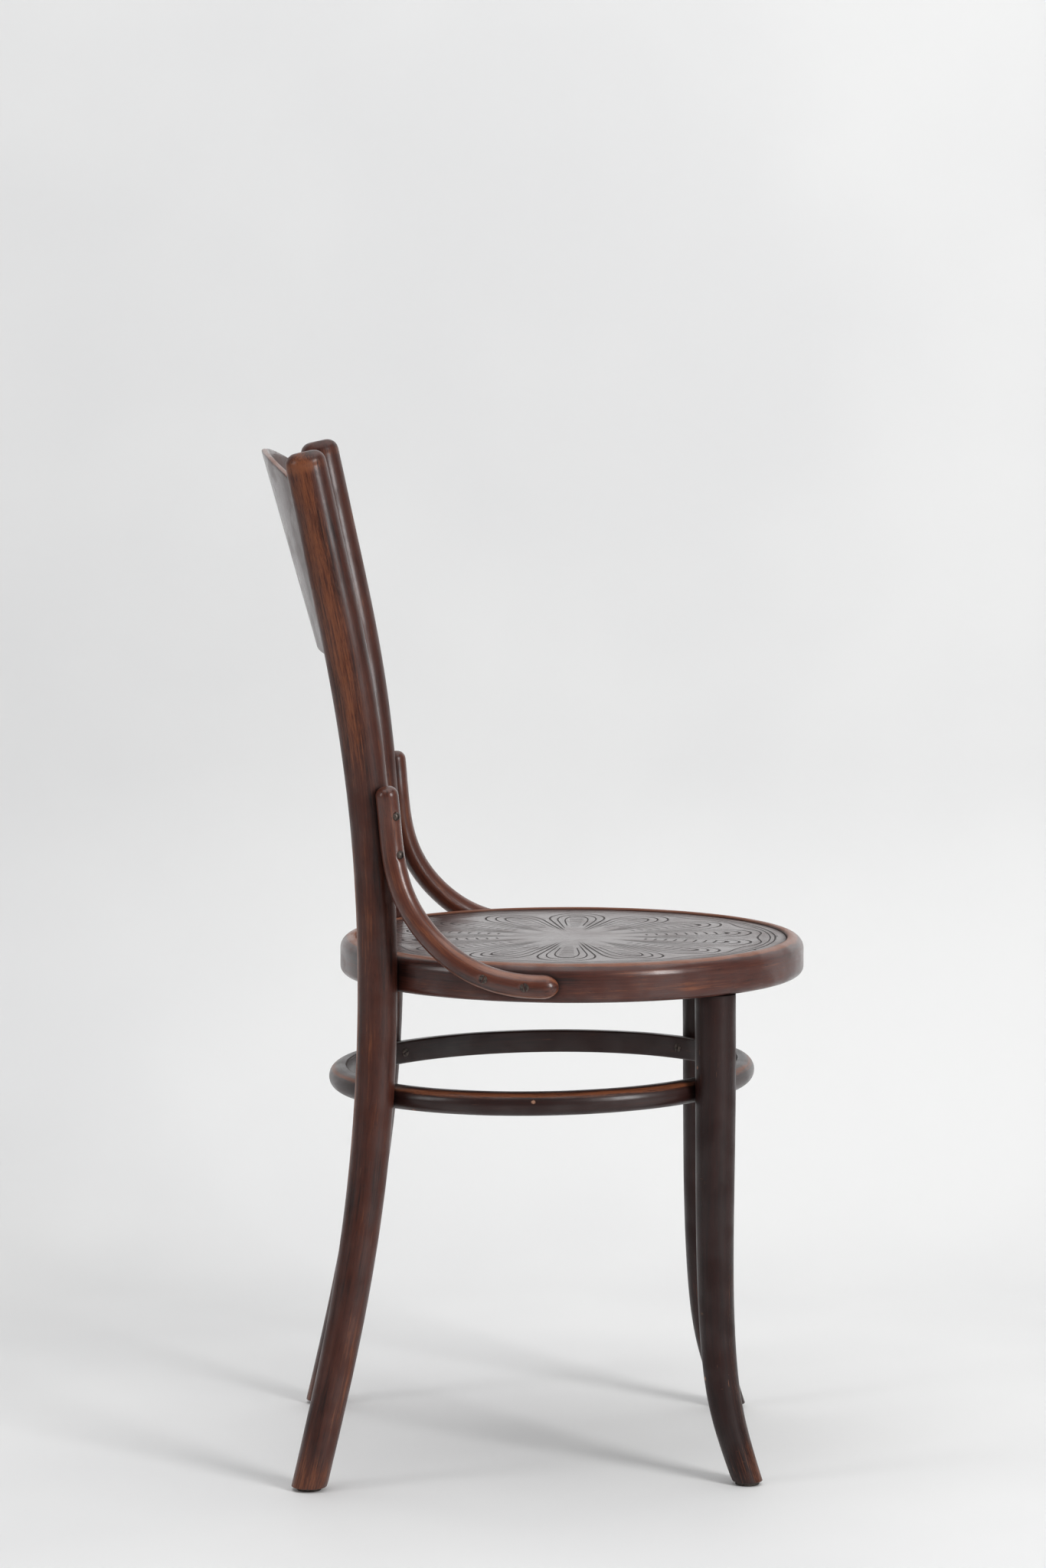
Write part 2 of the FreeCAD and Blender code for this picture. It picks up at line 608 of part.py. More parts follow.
def ring_of(body, feature, name, count):
    pattern = body.newObject("PartDesign::PolarPattern", name)
    pattern.Originals = [feature]
    axis = next(item for item in body.Origin.OriginFeatures if item.Role == "Z_Axis")
    pattern.Axis = (axis, [""])
    pattern.Angle = 360
    bind(pattern, "Occurrences", count)
    body.Tip = pattern
    checked_cut(body, pattern)


def make_seat_panel():
    body = new_body("seat_panel")
    outline = sketch_on(body, "disc_outline", role="XZ_Plane")
    rounded_outline(outline, [("0", LEDGE), (PANEL_RADIUS, LEDGE),
                              (PANEL_RADIUS, PANEL_TOP, "seat_panel_round"), ("0", PANEL_TOP)])
    turned(body, outline, "PressedDisc")
    hole = bore(body, "BradHole", seat_brad_place(0), seat_brad)
    ring_of(body, hole, "BradHoles", "seat_pin_count")
    return body


def make_ring():
    body = new_body("leg_ring")
    outline = sketch_on(body, "hoop_outline", ring_place(), "YZ_Plane")
    rounded_outline(outline, ring_corners())
    turned(body, outline, "BentHoop")
    for side_name, side in SIDES.items():
        for front in (True, False):
            name = f"Screw_{'front' if front else 'rear'}_{side_name}"
            bore(body, name, ring_screw_place(side, front), flat_screw)
    return body


def make_post(side_name, side):
    body = new_body(f"rear_post_{side_name}")
    stations = []
    for index, (level, x, y, size, flatness) in enumerate(POST_STATIONS):
        top = index == len(POST_STATIONS) - 1
        lean = Rotation(Vector(1, 0, 0), -number("post_top_lean") if top else 0)
        sketch = sketch_on(body, f"station_{index}", Placement(Vector(0, 0, number(level)), lean))
        bind(sketch, "AttachmentOffset.Base.z", level)
        if top:
            bind(sketch, "AttachmentOffset.Base.y", y)
            oval(sketch, size, flatness, f"{side} * ({x})")
        else:
            oval(sketch, size, flatness, f"{side} * ({x})", y)
        stations.append(sketch)
    lofted(body, stations, "BentRod")
    house_rim(body)
    house_ring(body)
    top = edge_height(PANEL_SHOULDER, number("back_panel_crown"), "groove_depth + joint_gap")
    lofted(body, [panel_sketch(body, "groove_low", panel_section(f"{PANEL_BOTTOM} - joint_gap", "joint_gap")),
                  panel_sketch(body, "groove_high", panel_section(f"{top} + joint_gap", "joint_gap"))],
           "PanelGroove", cut=True)
    plane_for_brace(body, side, keep_post=True)
    bore(body, "CoachHole", coach_place(side), coach_shank)
    bore(body, "RingScrewHole", ring_screw_place(side, False), flat_screw)
    for name, level in BRACE_SCREWS.items():
        bore(body, f"BraceScrewHole_{name}", brace_screw_place(number(level), side), dome_screw)
    for name, level in BACK_PINS.items():
        bore(body, f"PinHole_{name}", back_pin_place(number(level), side), back_brad)
    bore(body, "GlideNailHole", glide_place(POST_STATIONS, side), glide_nail)
    level, x, y, *rest = POST_STATIONS[-1]
    top = Vector(side * number(x), number(y), number(level))
    soften(body, "Fillet", "DomedTop", "post_top_round", lambda edge: (edge.CenterOfMass - top).Length < NEAR)
    return body


def glide_place(stations, side, level="glide_thickness"):
    """Under the foot of a post or leg, its Y axis up."""
    x, y = stations[0][1:3]
    return Placement(Vector(side * number(x), number(y), number(level)), Rotation(Vector(1, 0, 0), 90))


def make_leg(side_name, side):
    body = new_body(f"front_leg_{side_name}")
    stations = []
    for index, (level, x, y, size) in enumerate(LEG_STATIONS):
        sketch = sketch_on(body, f"station_{index}", Placement(Vector(0, 0, number(level)), Rotation()))
        bind(sketch, "AttachmentOffset.Base.z", level)
        circle(sketch, size, f"{side} * ({x})", y)
        stations.append(sketch)
    lofted(body, stations, "BentLeg")
    level, x, y, size = LEG_STATIONS[-1]
    sketch = sketch_on(body, "tenon_outline", Placement(Vector(0, 0, number(level)), Rotation()))
    bind(sketch, "AttachmentOffset.Base.z", level)
    circle(sketch, "tenon_size", f"{side} * ({x})", y)
    pad(body, sketch, "Tenon", f"{TENON_TOP} - {RIM_BASE} + joint_gap")
    soften(body, "Chamfer", "TenonLead", "tenon_chamfer", at_height(number(TENON_TOP)))
    house_ring(body)
    bore(body, "RingScrewHole", ring_screw_place(side, True), flat_screw)
    bore(body, "GlideNailHole", glide_place(LEG_STATIONS, side), glide_nail)
    return body


def plane_for_brace(body, side, keep_post):
    """The flat where the brace lies on the post: planed on both, a little from each."""
    way = brace_way(side)
    low, high = (number(level) for level in BRACE_SCREWS.values())
    contact = on_post((low + high) / 2, side) + way * (brace_post_half() - number("brace_planing / 2"))
    top = BRACE_TOP if keep_post else f"({BRACE_TOP} + brace_end_round)"
    contact.z = number(top)
    out = way if keep_post else -way
    across = Vector(0, 0, 1).cross(out)
    facing = Rotation(Vector(0, 0, 1), math.degrees(math.atan2(across.y, across.x)))
    sketch = sketch_on(body, "brace_flat", Placement(contact, facing))
    direction = 1 if facing.multVec(Vector(0, 1, 0)).dot(out) > 0 else -1
    far = f"{direction} * post_brace_size"
    polygon(sketch, [("-brace_size", "0"), ("brace_size", "0"), ("brace_size", far), ("-brace_size", far)])
    pocket(body, sketch, "BraceFlat", f"{top} - ({BRACE_RIM_LEVEL} + brace_bend / 2)")


def make_brace(side_name, side):
    body = new_body(f"side_brace_{side_name}")
    line = brace_line(side)
    stations = []
    for index, (point, way) in enumerate(line):
        up = Vector(0, 0, 1)
        outward = Vector(point.x, point.y, 0).normalize()
        across = outward - way * outward.dot(way)
        place = Placement(point, Rotation(across, way.cross(across), way, "XZY"))
        sketch = sketch_on(body, f"station_{index}", place)
        circle(sketch, "brace_nose_size" if index > 4 else "brace_size")
        stations.append(sketch)
    lofted(body, stations, "BentRod")
    ends = (line[0][0], line[-1][0])
    soften(body, "Fillet", "RoundedEnds", "brace_end_round",
           lambda edge: min((edge.CenterOfMass - end).Length for end in ends) < NEAR)
    plane_for_brace(body, side, keep_post=False)
    house_rim(body)
    for name, level in BRACE_SCREWS.items():
        bore(body, f"PostScrewHole_{name}", brace_screw_place(number(level), side), dome_screw)
    for name, inset in RIM_SCREWS.items():
        bore(body, f"RimScrewHole_{name}", rim_screw_place(inset, side), flat_screw)
    return body


def panel_sketch(body, name, section):
    """The bent sheet cut level: two arcs with one centre, closed by its two ends."""
    height, half, depth, bulge, half_thick = section
    sketch = sketch_on(body, name, Placement(Vector(0, 0, height), Rotation()))
    radius = (half * half + bulge * bulge) / (2 * bulge)
    middle = Vector(0, depth + bulge - radius, 0)
    turn = math.asin(half / radius)

    def point(reach, angle):
        return middle + Vector(reach * math.sin(angle), reach * math.cos(angle), 0)

    inner, outer = radius - half_thick, radius + half_thick
    sketch.addGeometry(Part.Arc(point(outer, turn), point(outer, 0), point(outer, -turn)))
    sketch.addGeometry(Part.LineSegment(point(outer, -turn), point(inner, -turn)))
    sketch.addGeometry(Part.Arc(point(inner, turn), point(inner, 0), point(inner, -turn)))
    sketch.addGeometry(Part.LineSegment(point(inner, turn), point(outer, turn)))
    for first, end, second, start in ((0, 2, 1, 1), (1, 2, 2, 2), (2, 1, 3, 1), (3, 2, 0, 1)):
        sketch.addConstraint(Sketcher.Constraint("Coincident", first, end, second, start))
    sketch.addConstraint(Sketcher.Constraint("Coincident", 0, 3, 2, 3))
    sketch.addConstraint(Sketcher.Constraint("PointOnObject", 0, 3, -2))
    sketch.addConstraint(Sketcher.Constraint("DistanceY", -1, 1, 0, 3, middle.y)
                         if middle.y > 0 else Sketcher.Constraint("DistanceY", 0, 3, -1, 1, -middle.y))
    sketch.addConstraint(Sketcher.Constraint("Radius", 0, outer))
    sketch.addConstraint(Sketcher.Constraint("Radius", 2, inner))
    sketch.addConstraint(Sketcher.Constraint("Symmetric", 0, 1, 0, 2, -2))
    sketch.addConstraint(Sketcher.Constraint("Symmetric", 2, 1, 2, 2, -2))
    sketch.addConstraint(Sketcher.Constraint("DistanceX", 0, 2, 0, 1, 2 * point(outer, turn).x))
    sketch.addConstraint(Sketcher.Constraint("DistanceX", 2, 2, 2, 1, 2 * point(inner, turn).x))
    return sketch


def make_back_panel():
    body = new_body("back_panel")
    low = panel_section(f"{PANEL_BOTTOM} - back_panel_trim")
    high = panel_section(f"{PANEL_SHOULDER} + back_panel_crown + back_panel_trim")
    lofted(body, [panel_sketch(body, "sheet_low", low), panel_sketch(body, "sheet_high", high)], "BentSheet")
    half = panel_section(PANEL_SHOULDER)[1]
    arched_trim(body, "Crown", half, PANEL_SHOULDER, "back_panel_crown", 1)
    arched_trim(body, "Arch", half, PANEL_BOTTOM, "back_panel_arch", -1)
    soften(body, "Fillet", "EasedEdges", "back_panel_edge_round",
           lambda edge: edge.Length > half and abs(edge.CenterOfMass.x) < FINE)
    for side_name, side in SIDES.items():
        for name, level in BACK_PINS.items():
            bore(body, f"PinHole_{name}_{side_name}", back_pin_place(number(level), side), back_brad)
    return body


def arched_trim(body, name, half, ends, rise, way):
    """Trim the sheet seen from the front to an arc through its two ends, above it or below it."""
    low, crest, over = number(ends), number(f"{ends} + {rise}"), number("back_panel_trim") * 4
    limit = low + way * (over + number(rise))
    sketch = sketch_on(body, f"{name}_outline", role="XZ_Plane")
    sketch.addGeometry(Part.Arc(Vector(half, low, 0), Vector(0, crest, 0), Vector(-half, low, 0)))
    corners = [(half, low), (half + over, low), (half + over, limit), (-half - over, limit),
               (-half - over, low), (-half, low)]
    for start, end in zip(corners, corners[1:]):
        sketch.addGeometry(Part.LineSegment(Vector(*start, 0), Vector(*end, 0)))
    sketch.addConstraint(Sketcher.Constraint("Coincident", 0, 1, 1, 1))
    for index in range(1, 5):
        sketch.addConstraint(Sketcher.Constraint("Coincident", index, 2, index + 1, 1))
    sketch.addConstraint(Sketcher.Constraint("Coincident", 5, 2, 0, 2))
    sketch.addConstraint(Sketcher.Constraint("Symmetric", 0, 1, 0, 2, -2))
    for index in (1, 3, 5):
        sketch.addConstraint(Sketcher.Constraint("Horizontal", index))
    for index in (2, 4):
        sketch.addConstraint(Sketcher.Constraint("Vertical", index))
    sketch.addConstraint(Sketcher.Constraint("Equal", 1, 5))
    sketch.addConstraint(Sketcher.Constraint("DistanceX", -1, 1, 1, 1, half))
    sketch.addConstraint(Sketcher.Constraint("DistanceX", 1, 1, 1, 2, over))
    rule = sketch.addConstraint(Sketcher.Constraint("DistanceY", -1, 1, 1, 1, low))
    bind(sketch, f"Constraints[{rule}]", ends)
    sketch.addConstraint(Sketcher.Constraint("DistanceY", -1, 1, 3, 1, limit))
    radius = (half * half + number(rise) ** 2) / (2 * number(rise))
    sketch.addConstraint(Sketcher.Constraint("Radius", 0, radius))
    cut_through(body, sketch, name)


def cut_through(body, sketch, name):
    feature = body.newObject("PartDesign::Pocket", name)
    feature.Profile = sketch
    feature.Type = 1
    feature.Midplane = True
    checked_cut(body, feature)


# Metal pieces

def make_glide(stations, place_name, side_name, side):
    body = new_body(f"foot_glide_{place_name}_{side_name}")
    disc = sketch_on(body, "disc_outline", glide_place(stations, side, "0"))
    rounded_outline(disc, [("0", "0"), ("glide_size / 2", "0", "glide_round"),
                           ("glide_size / 2", "glide_thickness"), ("0", "glide_thickness")])
    turned(body, disc, "Glide")
    nail = sketch_on(body, "nail_outline", glide_place(stations, side))
    polygon(nail, glide_nail())
    turned(body, nail, "Nail")
    return body


def make_screw(label, outline, head_top, round_head=False):
    """One slotted screw, its axis along Y and its head outwards, used again by the groups."""
    body = doc.addObject("PartDesign::Body", label)
    body.Label = label
    sketch = sketch_on(body, "screw_outline")
    polygon(sketch, outline())
    turned(body, sketch, "Screw")
    if round_head:
        soften(body, "Fillet", "Dome", "dome_head_height - slot_width / 2",
               lambda edge: edge.BoundBox.YMin > -FINE and edge.BoundBox.YMax < FINE)
    place = Placement(Vector(), Rotation(Vector(1, 0, 0), -90))
    slot = sketch_on(body, "slot_outline", place)
    polygon(slot, [(f"-{head_top}", "-slot_width / 2"), (head_top, "-slot_width / 2"),
                   (head_top, "slot_width / 2"), (f"-{head_top}", "slot_width / 2")])
    pocket(body, slot, "Slot", "slot_depth")
    return body


def make_coach_screw():
    body = doc.addObject("PartDesign::Body", "coach_screw")
    sketch = sketch_on(body, "shank_outline")
    polygon(sketch, coach_shank())
    turned(body, sketch, "Shank")
    head = sketch_on(body, "head_outline", Placement(Vector(), Rotation(Vector(1, 0, 0), -90)))
    corner = "coach_head_across / sqrt(3)"
    polygon(head, [(f"{corner} * cos({60 * k})", f"{corner} * sin({60 * k})") for k in range(6)])
    pad(body, head, "HexHead", "coach_head_height")
    return body


def make_washer():
    body = doc.addObject("PartDesign::Body", "washer")
    sketch = sketch_on(body, "washer_outline")
    rounded_outline(sketch, [("coach_size / 2 + joint_gap", "-washer_thickness"),
                             ("washer_size / 2", "-washer_thickness"), ("washer_size / 2", "0"),
                             ("coach_size / 2 + joint_gap", "0")])
    turned(body, sketch, "Washer")
    return body


def make_brad(label, outline):
    body = doc.addObject("PartDesign::Body", label)
    sketch = sketch_on(body, "brad_outline")
    polygon(sketch, outline())
    turned(body, sketch, "Brad")
    return body


def group(label, master, places):
    doc.recompute()
    shapes = []
    for place in places:
        copy = master.Shape.copy()
        copy.Placement = place.multiply(copy.Placement)
        shapes.append(copy)
    feature = doc.addObject("Part::Feature", label)
    feature.Label = label
    feature.Shape = Part.makeCompound(shapes)
    bind(feature, "Placement.Base.y", SHIFT)
    return feature


def make_fasteners():
    dome = make_screw("dome_screw", dome_screw, "dome_head_size", round_head=True)
    flat = make_screw("flat_screw", flat_screw, "flat_head_size")
    sides = list(SIDES.values())
    levels = [number(level) for level in BRACE_SCREWS.values()]
    pins = [number(level) for level in BACK_PINS.values()]
    count = int(number("seat_pin_count"))
    coach_places = [coach_place(side) for side in sides]
    return [
        group("brace_post_screws", dome,
              [brace_screw_place(level, side) for side in sides for level in levels]),
        group("brace_rim_screws", flat,
              [rim_screw_place(inset, side) for side in sides for inset in RIM_SCREWS.values()]),
        group("ring_screws", flat,
              [ring_screw_place(side, front) for side in sides for front in (True, False)]),
        group("post_bolts", make_coach_screw(), coach_places),
        group("post_washers", make_washer(), coach_places),
        group("seat_panel_pins", make_brad("seat_brad", seat_brad),
              [seat_brad_place(360 * k / count) for k in range(count)]),
        group("back_panel_pins", make_brad("back_brad", back_brad),
              [back_pin_place(level, side) for side in sides for level in pins]),
    ]


pieces = [make_rim(), make_seat_panel(), make_ring(), make_back_panel()]
for side_name, side in SIDES.items():
    pieces.append(make_post(side_name, side))
    pieces.append(make_leg(side_name, side))
    pieces.append(make_brace(side_name, side))
    pieces.append(make_glide(POST_STATIONS, "rear", side_name, side))
    pieces.append(make_glide(LEG_STATIONS, "front", side_name, side))
pieces += make_fasteners()

doc.recompute()
for item in doc.Objects:
    if "Invalid" in item.State or "Error" in item.State:
        raise RuntimeError(f"{item.Label} is {item.State}")
for piece in pieces:
    if piece.Shape.isNull() or not piece.Shape.isValid():
        raise RuntimeError(f"{piece.Label} has no valid shape")

os.makedirs("parts", exist_ok=True)
for piece in pieces:
    piece.Shape.exportStep(f"parts/{piece.Label}.step")
    solids = len(piece.Shape.Solids)
    print(f"{piece.Label}: {solids} solid(s), {piece.Shape.Volume / 1000:.1f} cm3")
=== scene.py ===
import json
import math

import bmesh
import bpy
import numpy as np
from mathutils import Matrix, Vector
from mathutils.bvhtree import BVHTree


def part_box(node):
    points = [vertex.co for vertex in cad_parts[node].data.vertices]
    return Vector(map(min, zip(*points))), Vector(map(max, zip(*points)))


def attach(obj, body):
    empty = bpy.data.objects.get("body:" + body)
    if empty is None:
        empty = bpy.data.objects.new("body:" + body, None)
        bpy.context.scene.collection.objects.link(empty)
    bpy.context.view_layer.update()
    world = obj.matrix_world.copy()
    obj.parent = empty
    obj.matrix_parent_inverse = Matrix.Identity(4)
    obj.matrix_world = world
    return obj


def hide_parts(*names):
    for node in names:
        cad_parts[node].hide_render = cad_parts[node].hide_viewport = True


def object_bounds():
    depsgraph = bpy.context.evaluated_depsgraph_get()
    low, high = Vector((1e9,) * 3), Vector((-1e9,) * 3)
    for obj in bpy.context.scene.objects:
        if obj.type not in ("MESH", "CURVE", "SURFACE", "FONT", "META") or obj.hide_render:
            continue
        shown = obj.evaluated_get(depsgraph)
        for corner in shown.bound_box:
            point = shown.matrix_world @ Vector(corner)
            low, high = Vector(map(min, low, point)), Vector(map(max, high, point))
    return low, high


# A bentwood bistro chair. Sizes are in millimetres about the seat's own axis, as a maker would
# write them, and MM and place() bring them into the frame's metres.

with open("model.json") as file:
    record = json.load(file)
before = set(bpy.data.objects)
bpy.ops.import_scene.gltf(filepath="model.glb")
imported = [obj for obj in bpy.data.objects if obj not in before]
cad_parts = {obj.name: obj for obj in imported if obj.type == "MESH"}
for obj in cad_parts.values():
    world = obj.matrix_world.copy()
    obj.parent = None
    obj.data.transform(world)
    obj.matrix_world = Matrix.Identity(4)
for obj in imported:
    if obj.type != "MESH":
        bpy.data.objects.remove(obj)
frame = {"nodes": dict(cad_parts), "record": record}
cad_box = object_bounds()

MM = 0.001
rim_low, rim_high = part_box("seat_rim")
SEAT_Y = (rim_low.y + rim_high.y) / 2 / MM
SEAT_TOP = rim_high.z / MM
RIM_RADIUS = (rim_high.x - rim_low.x) / 2 / MM
RIM_BASE = rim_low.z / MM
SIDES = {"left": 1, "right": -1}

# Rounded rods: height, x, y, fore-and-aft size, width across. The chair's left side, x outwards.
POST = [
    (3, 167, 228.2, 31, 30.35),
    (150, 156.2, 195.8, 32, 31.35),
    (337.6, 142.59, 171.9, 34, 33.35),
    (443.5, 139.26, 168.94, 34.2, 33.55),
    (570, 145, 174, 35.2, 32.35),
    (690, 151.5, 188.8, 37.4, 32.35),
    (790, 157, 208.4, 37, 31.95),
    (891.4, 163, 229.6, 34.6, 29.55),
]
POST_LEAN = 12.3
POST_DOME = 10
LEG = [
    (3, 149, -149.8, 26.6, 26.6),
    (58, 143.8, -133.2, 29, 29),
    (130, 140.9, -123.9, 30.6, 30.6),
    (220, 140, -121.4, 32.6, 32.6),
    (337.6, 140.17, -121.42, 34.8, 34.8),
    (426.85, 140.04, -120.88, 35.2, 35.2),
]
TENON_RADIUS = 11
TENON_TOP = 447
TENON_BEVEL = 1.5
FOOT_ROUND = 1.4

# Seat rim, seat panel with its lobes, and leg ring
RIM_WIDTH = 36
RIM_TOP_ROUND = 11
RIM_BASE_ROUND = 7
RIM_EDGE_ROUND = 2.5
PANEL_RADIUS = 190
PANEL_TOP = SEAT_TOP - 2
PANEL_THICKNESS = 5
LOBES = 14
LOBE_TURN = math.radians(-3)
SEAT_SWELL = 0.5
RING_RADIUS = 188.6
RING_THICKNESS = 16
RING_HEIGHT = 20.5
RING_LEVEL = 337.6
RING_BACK = 26.8
RING_TILT = 1
RING_HOUSING = 2

# Side braces
BRACE_SIZE = 19.5
BRACE_NOSE = 20.5
BRACE_TOP = 608
BRACE_LEVEL = 442
BRACE_BEND = 126
BRACE_TAIL = 24
BRACE_OFFSET = 3
BRACE_PLANING = 1.5
BRACE_DOME = 8
BRACE_TIP = 14
BRACE_FLAT_LOW = 505

# Back panel: half width, depth of its ends and bulge at two heights
SHEET_LOW = (705, 145.1, 194.4, 23.6)
SHEET_HIGH = (895, 157.45, 233.3, 38)
SHEET_THICKNESS = 6
SHEET_ROUND = 1.5
SHEET_SHOULDER = 854
SHEET_CROWN = 35
SHEET_BOTTOM = 711
SHEET_ARCH = 5
SHEET_HALF = 154.8

# Slotted screws: where they sit, and their heads
POST_SCREW_LEVELS = (583, 550)
RIM_SCREW_INSETS = (61.8, 27.3)
RING_SCREW_ANGLES = (44.5, 180 - 43.4)
HEAD_SINK = 0.6
DOME_HEAD = (7.4, 2.6)
FLAT_HEAD = (7.6, 0.25)
SLOT_WIDTH = 1
SLOT_DEPTH = 1
SHANK_SIZE = 3.8
SHANK_LENGTH = 24

GAP = 0.1


def place(points):
    """Points in millimetres about the seat's axis, brought into the frame."""
    moved = np.array(points, float)
    moved[..., 1] += SEAT_Y
    return moved * MM


def natural_spline(knots, values, wanted):
    """A natural cubic spline through values at knots, read at the wanted places."""
    knots, values, wanted = (np.asarray(item, float) for item in (knots, values, wanted))
    count = len(knots)
    step = np.diff(knots)
    matrix = np.eye(count)
    right = np.zeros((count, values.shape[1]))
    for row in range(1, count - 1):
        matrix[row, row - 1:row + 2] = step[row - 1], 2 * (step[row - 1] + step[row]), step[row]
        rise = (values[row + 1] - values[row]) / step[row] - (values[row] - values[row - 1]) / step[row - 1]
        right[row] = 6 * rise
    bend = np.linalg.solve(matrix, right)
    spot = np.clip(np.searchsorted(knots, wanted) - 1, 0, count - 2)
    width = step[spot][:, None]
    low = (knots[spot + 1] - wanted)[:, None]
    high = (wanted - knots[spot])[:, None]
    curve = (bend[spot] * low ** 3 + bend[spot + 1] * high ** 3) / (6 * width)
    line = (values[spot] / width - bend[spot] * width / 6) * low
    return curve + line + (values[spot + 1] / width - bend[spot + 1] * width / 6) * high


def smooth(low, high, value):
    share = np.clip((np.asarray(value, float) - low) / (high - low), 0, 1)
    return share * share * (3 - 2 * share)


# Node building

class Wiring:
    """Short calls that add nodes to a shader tree and join them up."""

    def __init__(self, tree):
        self.tree = tree

    def node(self, kind, **settings):
        made = self.tree.nodes.new(kind)
        for key, value in settings.items():
            setattr(made, key, value)
        return made

    def join(self, source, target):
        if isinstance(source, bpy.types.NodeSocket):
            self.tree.links.new(source, target)
        else:
            target.default_value = source

    def fed(self, kind, sources, **settings):
        """Add a node and join what feeds each of its named inputs."""
        made = self.node(kind, **settings)
        for label, source in sources.items():
            self.join(source, made.inputs[label])
        return made

    def maths(self, operation, *values, clamp=False):
        made = self.node("ShaderNodeMath", operation=operation, use_clamp=clamp)
        for socket, value in zip(made.inputs, values):
            self.join(value, socket)
        return made.outputs[0]

    def vector(self, operation, *values):
        made = self.node("ShaderNodeVectorMath", operation=operation)
        for socket, value in zip(made.inputs, values):
            self.join(value, socket)
        return made.outputs["Vector"]

    def reach(self, x, y):
        """How far a place lies from the upright axis."""
        squares = [self.maths("MULTIPLY", value, value) for value in (x, y)]
        return self.maths("SQRT", self.maths("ADD", *squares))

    def noise(self, vector, scale, detail=3.0, roughness=0.55):
        return self.fed("ShaderNodeTexNoise", {"Vector": vector, "Scale": scale, "Detail": detail,
                                               "Roughness": roughness}).outputs["Fac"]

    def ease(self, value, low, high, out_low=0.0, out_high=1.0):
        made = self.node("ShaderNodeMapRange", interpolation_type="SMOOTHSTEP")
        for socket, item in zip(made.inputs, (value, low, high, out_low, out_high)):
            self.join(item, socket)
        return made.outputs[0]

    def blend(self, share, first, second):
        made = self.node("ShaderNodeMix", data_type="RGBA")
        self.join(share, made.inputs["Factor"])
        self.join(first, made.inputs[6])
        self.join(second, made.inputs[7])
        return made.outputs[2]

    def split(self, vector):
        made = self.node("ShaderNodeSeparateXYZ")
        self.join(vector, made.inputs[0])
        return made.outputs

    def combine(self, x, y, z):
        made = self.node("ShaderNodeCombineXYZ")
        for socket, value in zip(made.inputs, (x, y, z)):
            self.join(value, socket)
        return made.outputs[0]


# Meshes

def make_mesh(name, points, faces, grain, sharp=40):
    mesh = bpy.data.meshes.new(name)
    inside = np.clip(place(points), np.array(cad_box[0]), np.array(cad_box[1]))
    mesh.from_pydata(inside.tolist(), [], faces)
    mesh.update()
    shape = bmesh.new()
    shape.from_mesh(mesh)
    if shape.calc_volume(signed=True) < 0:
        bmesh.ops.reverse_faces(shape, faces=shape.faces)
    shape.to_mesh(mesh)
    shape.free()
    mesh.shade_smooth()
    mesh.set_sharp_from_angle(angle=math.radians(sharp))
    layer = mesh.attributes.new("grain", "FLOAT_VECTOR", "POINT")
    layer.data.foreach_set("vector", (np.asarray(grain, float) * MM).astype(np.float32).ravel())
    piece = bpy.data.objects.new(name, mesh)
    bpy.context.scene.collection.objects.link(piece)
    return piece


def paint(piece, name, values):
    """Store one number per vertex under a name that the materials read."""
    layer = piece.data.attributes.new(name, "FLOAT", "POINT")
    layer.data.foreach_set("value", np.clip(values, 0, 1).astype(np.float32))


def ring_faces(rings, around, closed=False):
    faces = []
    for row in range(rings if closed else rings - 1):
        above = (row + 1) % rings
        for spot in range(around):
            beside = (spot + 1) % around
            faces.append((row * around + spot, row * around + beside, above * around + beside,
                          above * around + spot))
    return faces


def capped_rod(name, rings, grain):
    """A closed rod from rings of points. Each end closes on its own middle point."""
    count, around = rings.shape[:2]
    points = np.concatenate([rings.reshape(-1, 3), rings[0].mean(0)[None], rings[-1].mean(0)[None]])
    grains = np.concatenate([grain.reshape(-1, 3), grain[0].mean(0)[None], grain[-1].mean(0)[None]])
    faces = ring_faces(count, around)
    first, last = count * around, count * around + 1
    top = (count - 1) * around
    for spot in range(around):
        beside = (spot + 1) % around
        faces.append((beside, spot, first))
        faces.append((top + spot, top + beside, last))
    return make_mesh(name, points, faces, grains)


def turned(name, outline, steps=320, seam=0):
    """An outline of (reach, height) turned about an upright axis. Its grain runs around it."""
    outline = np.array(outline, float)
    angles = seam + np.arange(steps) * 2 * math.pi / steps
    reach, height = outline[:, 0], outline[:, 1]
    rings = np.stack([np.outer(np.sin(angles), reach), np.outer(np.cos(angles), reach),
                      np.tile(height, (steps, 1))], 2)
    along = np.repeat((angles - seam)[:, None] * reach.mean(), len(outline), 1)
    grain = np.stack([np.tile(reach, (steps, 1)), np.tile(height, (steps, 1)), along], 2)
    return make_mesh(name, rings.reshape(-1, 3), ring_faces(steps, len(outline), closed=True),
                     grain.reshape(-1, 3))


def about_rod(grain, shift):
    """Each point's turn about its rod in degrees and its way along it, read from the grain."""
    points = np.concatenate([grain.reshape(-1, 3), grain[[0, -1]].mean(1)]) - shift
    return np.degrees(np.arctan2(points[:, 1], points[:, 0])), points[:, 2]


def lengths_along(knots):
    """How far each knot lies along the line through all of them."""
    return np.concatenate([[0], np.cumsum(np.linalg.norm(np.diff(knots, axis=0), axis=1))])


